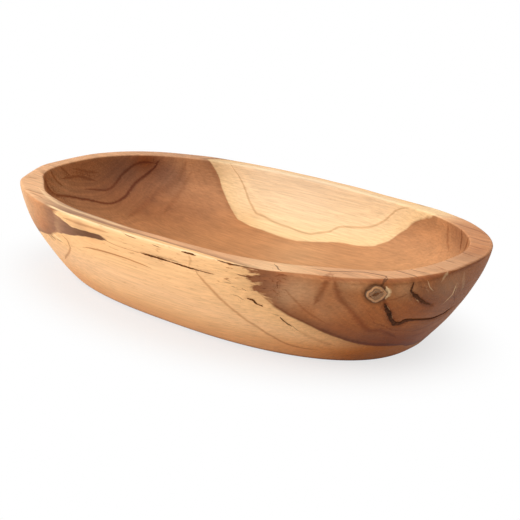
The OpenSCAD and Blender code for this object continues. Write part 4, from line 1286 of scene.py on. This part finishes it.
def stage_floor(finish):
    """Smooth white paper sweep: matt. The camera sees it partly as plain white, and wholly so away from the bowl.

    The rest is lit, so that the floor keeps the bowl's shadow.
    """
    material, tree, shader = new_material("white_paper")
    shader.inputs["Base Color"].default_value = (*finish.floor, 1)
    shader.inputs["Roughness"].default_value = 0.9
    shader.inputs["Specular IOR Level"].default_value = 0.0
    place = add_node(tree, "ShaderNodeTexCoord").outputs["Object"]
    # Distance from the middle as a share of the bowl's own oval
    oval_place = add_node(
        tree, "ShaderNodeMapping",
        {"Vector": place, "Location": (0.04, 0.08, 0), "Scale": (1 / 0.158, 1 / 0.092, 1)},
    ).outputs[0]
    away = add_node(tree, "ShaderNodeVectorMath", {0: oval_place}, operation="LENGTH").outputs["Value"]
    white = add_node(
        tree, "ShaderNodeMapRange", {0: away, 1: 0.8, 2: 1.35, 3: 0.68, 4: 1.0}, interpolation_type="SMOOTHSTEP"
    )
    ray = add_node(tree, "ShaderNodeLightPath").outputs
    seen = add_node(
        tree, "ShaderNodeMath", {0: ray["Is Camera Ray"], 1: ray["Is Glossy Ray"]}, operation="MAXIMUM"
    )
    share = add_node(tree, "ShaderNodeMath", {0: seen.outputs[0], 1: white.outputs[0]}, operation="MULTIPLY")
    glow = add_node(tree, "ShaderNodeEmission", {"Color": (1, 1, 1, 1), "Strength": 1.0})
    mixed = add_node(tree, "ShaderNodeMixShader", {0: share.outputs[0], 1: shader.outputs[0], 2: glow.outputs[0]})
    tree.links.new(mixed.outputs[0], tree.nodes["Material Output"].inputs["Surface"])
    return material


def aim(place, target):
    """Matrix of a lamp or camera at a place, looking at a target with its top up."""
    back = np.array(place, float) - np.array(target, float)
    back /= np.linalg.norm(back)
    right = np.cross([0, 0, 1], back)
    right /= np.linalg.norm(right)
    turned = np.stack([right, np.cross(back, right), back], 1)
    return Matrix([[*row, p] for row, p in zip(turned, place)] + [[0, 0, 0, 1]])


class DOUGHBOWL_OT_stage(bpy.types.Operator):
    """Builds the floor, the soft lamps, the world and the camera"""

    bl_idname = "doughbowl.stage"
    bl_label = "Stage"

    def execute(self, context):
        scene, finish = context.scene, context.scene.dough_bowl_finish
        # The floor lies a hair below the base, so that no two faces share a plane
        reach, low = 6.0, -0.0002
        mesh = bpy.data.meshes.new("stage_floor")
        corners = [(-reach, -reach, low), (reach, -reach, low), (reach, reach, low), (-reach, reach, low)]
        mesh.from_pydata(corners, [], [(0, 1, 2, 3)])
        floor = bpy.data.objects.new("stage_floor", mesh)
        floor.data.materials.append(stage_floor(finish))
        scene.collection.objects.link(floor)

        # A large soft lamp from the front left, and a weaker one from above
        for name, place, size, power in (
            ("key_lamp", (-0.75, -1.1, 0.85), 1.4, 26.0),
            ("top_lamp", (0.25, 0.1, 1.4), 1.2, 8.0),
        ):
            lamp = bpy.data.lights.new(name, "AREA")
            lamp.size, lamp.energy = size, power
            placed = bpy.data.objects.new(name, lamp)
            placed.matrix_world = aim(place, (0, 0, 0.02))
            scene.collection.objects.link(placed)

        world = bpy.data.worlds.new("studio")
        world.use_nodes = True
        scene.world = world
        tree = world.node_tree
        ray = add_node(tree, "ShaderNodeLightPath").outputs
        seen = add_node(
            tree, "ShaderNodeMath", {0: ray["Is Camera Ray"], 1: ray["Is Glossy Ray"]}, operation="MAXIMUM"
        )
        # White where it is seen, and a dimmer, warm fill where it lights the bowl
        light = add_node(
            tree, "ShaderNodeMix", {0: seen.outputs[0], 6: (0.36, 0.325, 0.29, 1), 7: (1, 1, 1, 1)}, data_type="RGBA"
        ).outputs[2]
        tree.links.new(light, tree.nodes["Background"].inputs["Color"])

        # The camera looks a little right of and above the middle of the base, at the photograph's angle
        azimuth, elevation, roll = np.radians([41.48, 18.98, 0.4])
        aside, above, distance = 0.01485, 0.0226, 0.8135
        back = np.array([np.sin(azimuth) * np.cos(elevation), -np.cos(azimuth) * np.cos(elevation), np.sin(elevation)])
        right = np.array([np.cos(azimuth), np.sin(azimuth), 0])
        target = right * aside + np.cross(back, right) * above
        camera = bpy.data.cameras.new("camera")
        camera.lens, camera.sensor_width = 85, 36
        camera.clip_start, camera.clip_end = 0.05, 30
        placed = bpy.data.objects.new("camera", camera)
        placed.matrix_world = aim(target + back * distance, target) @ Matrix.Rotation(roll, 4, "Z")
        scene.collection.objects.link(placed)
        scene.camera = placed
        scene.view_settings.view_transform = "Standard"
        return {"FINISHED"}


class DOUGHBOWL_PT_sidebar(bpy.types.Panel):
    """Lists the steps that build the bowl, and its sizes and colours"""

    bl_idname = "DOUGHBOWL_PT_sidebar"
    bl_label = "Dough bowl"
    bl_space_type = "VIEW_3D"
    bl_region_type = "UI"
    bl_category = "Dough bowl"

    def draw(self, context):
        for step in STEPS:
            self.layout.operator(step.bl_idname)
        for group in (context.scene.dough_bowl_form, context.scene.dough_bowl_finish):
            for name in group.bl_rna.properties.keys():
                if name not in {"name", "rna_type"}:
                    self.layout.prop(group, name)


STEPS = (
    DOUGHBOWL_OT_carved_bowl,
    DOUGHBOWL_OT_knot,
    DOUGHBOWL_OT_bark_seams,
    DOUGHBOWL_OT_check_stopping,
    DOUGHBOWL_OT_stage,
)
CLASSES = (BowlForm, BowlFinish, *STEPS, DOUGHBOWL_PT_sidebar)


def register():
    for made in CLASSES:
        bpy.utils.register_class(made)
    bpy.types.Scene.dough_bowl_form = bpy.props.PointerProperty(type=BowlForm)
    bpy.types.Scene.dough_bowl_finish = bpy.props.PointerProperty(type=BowlFinish)


def unregister():
    del bpy.types.Scene.dough_bowl_finish
    del bpy.types.Scene.dough_bowl_form
    for made in reversed(CLASSES):
        bpy.utils.unregister_class(made)


def main():
    """Builds each piece and the stage in order."""
    register()
    bpy.ops.doughbowl.carved_bowl()
    bpy.ops.doughbowl.knot()
    bpy.ops.doughbowl.bark_seams()
    bpy.ops.doughbowl.check_stopping()
    bpy.ops.doughbowl.stage()


if __name__ == "__main__":
    main()
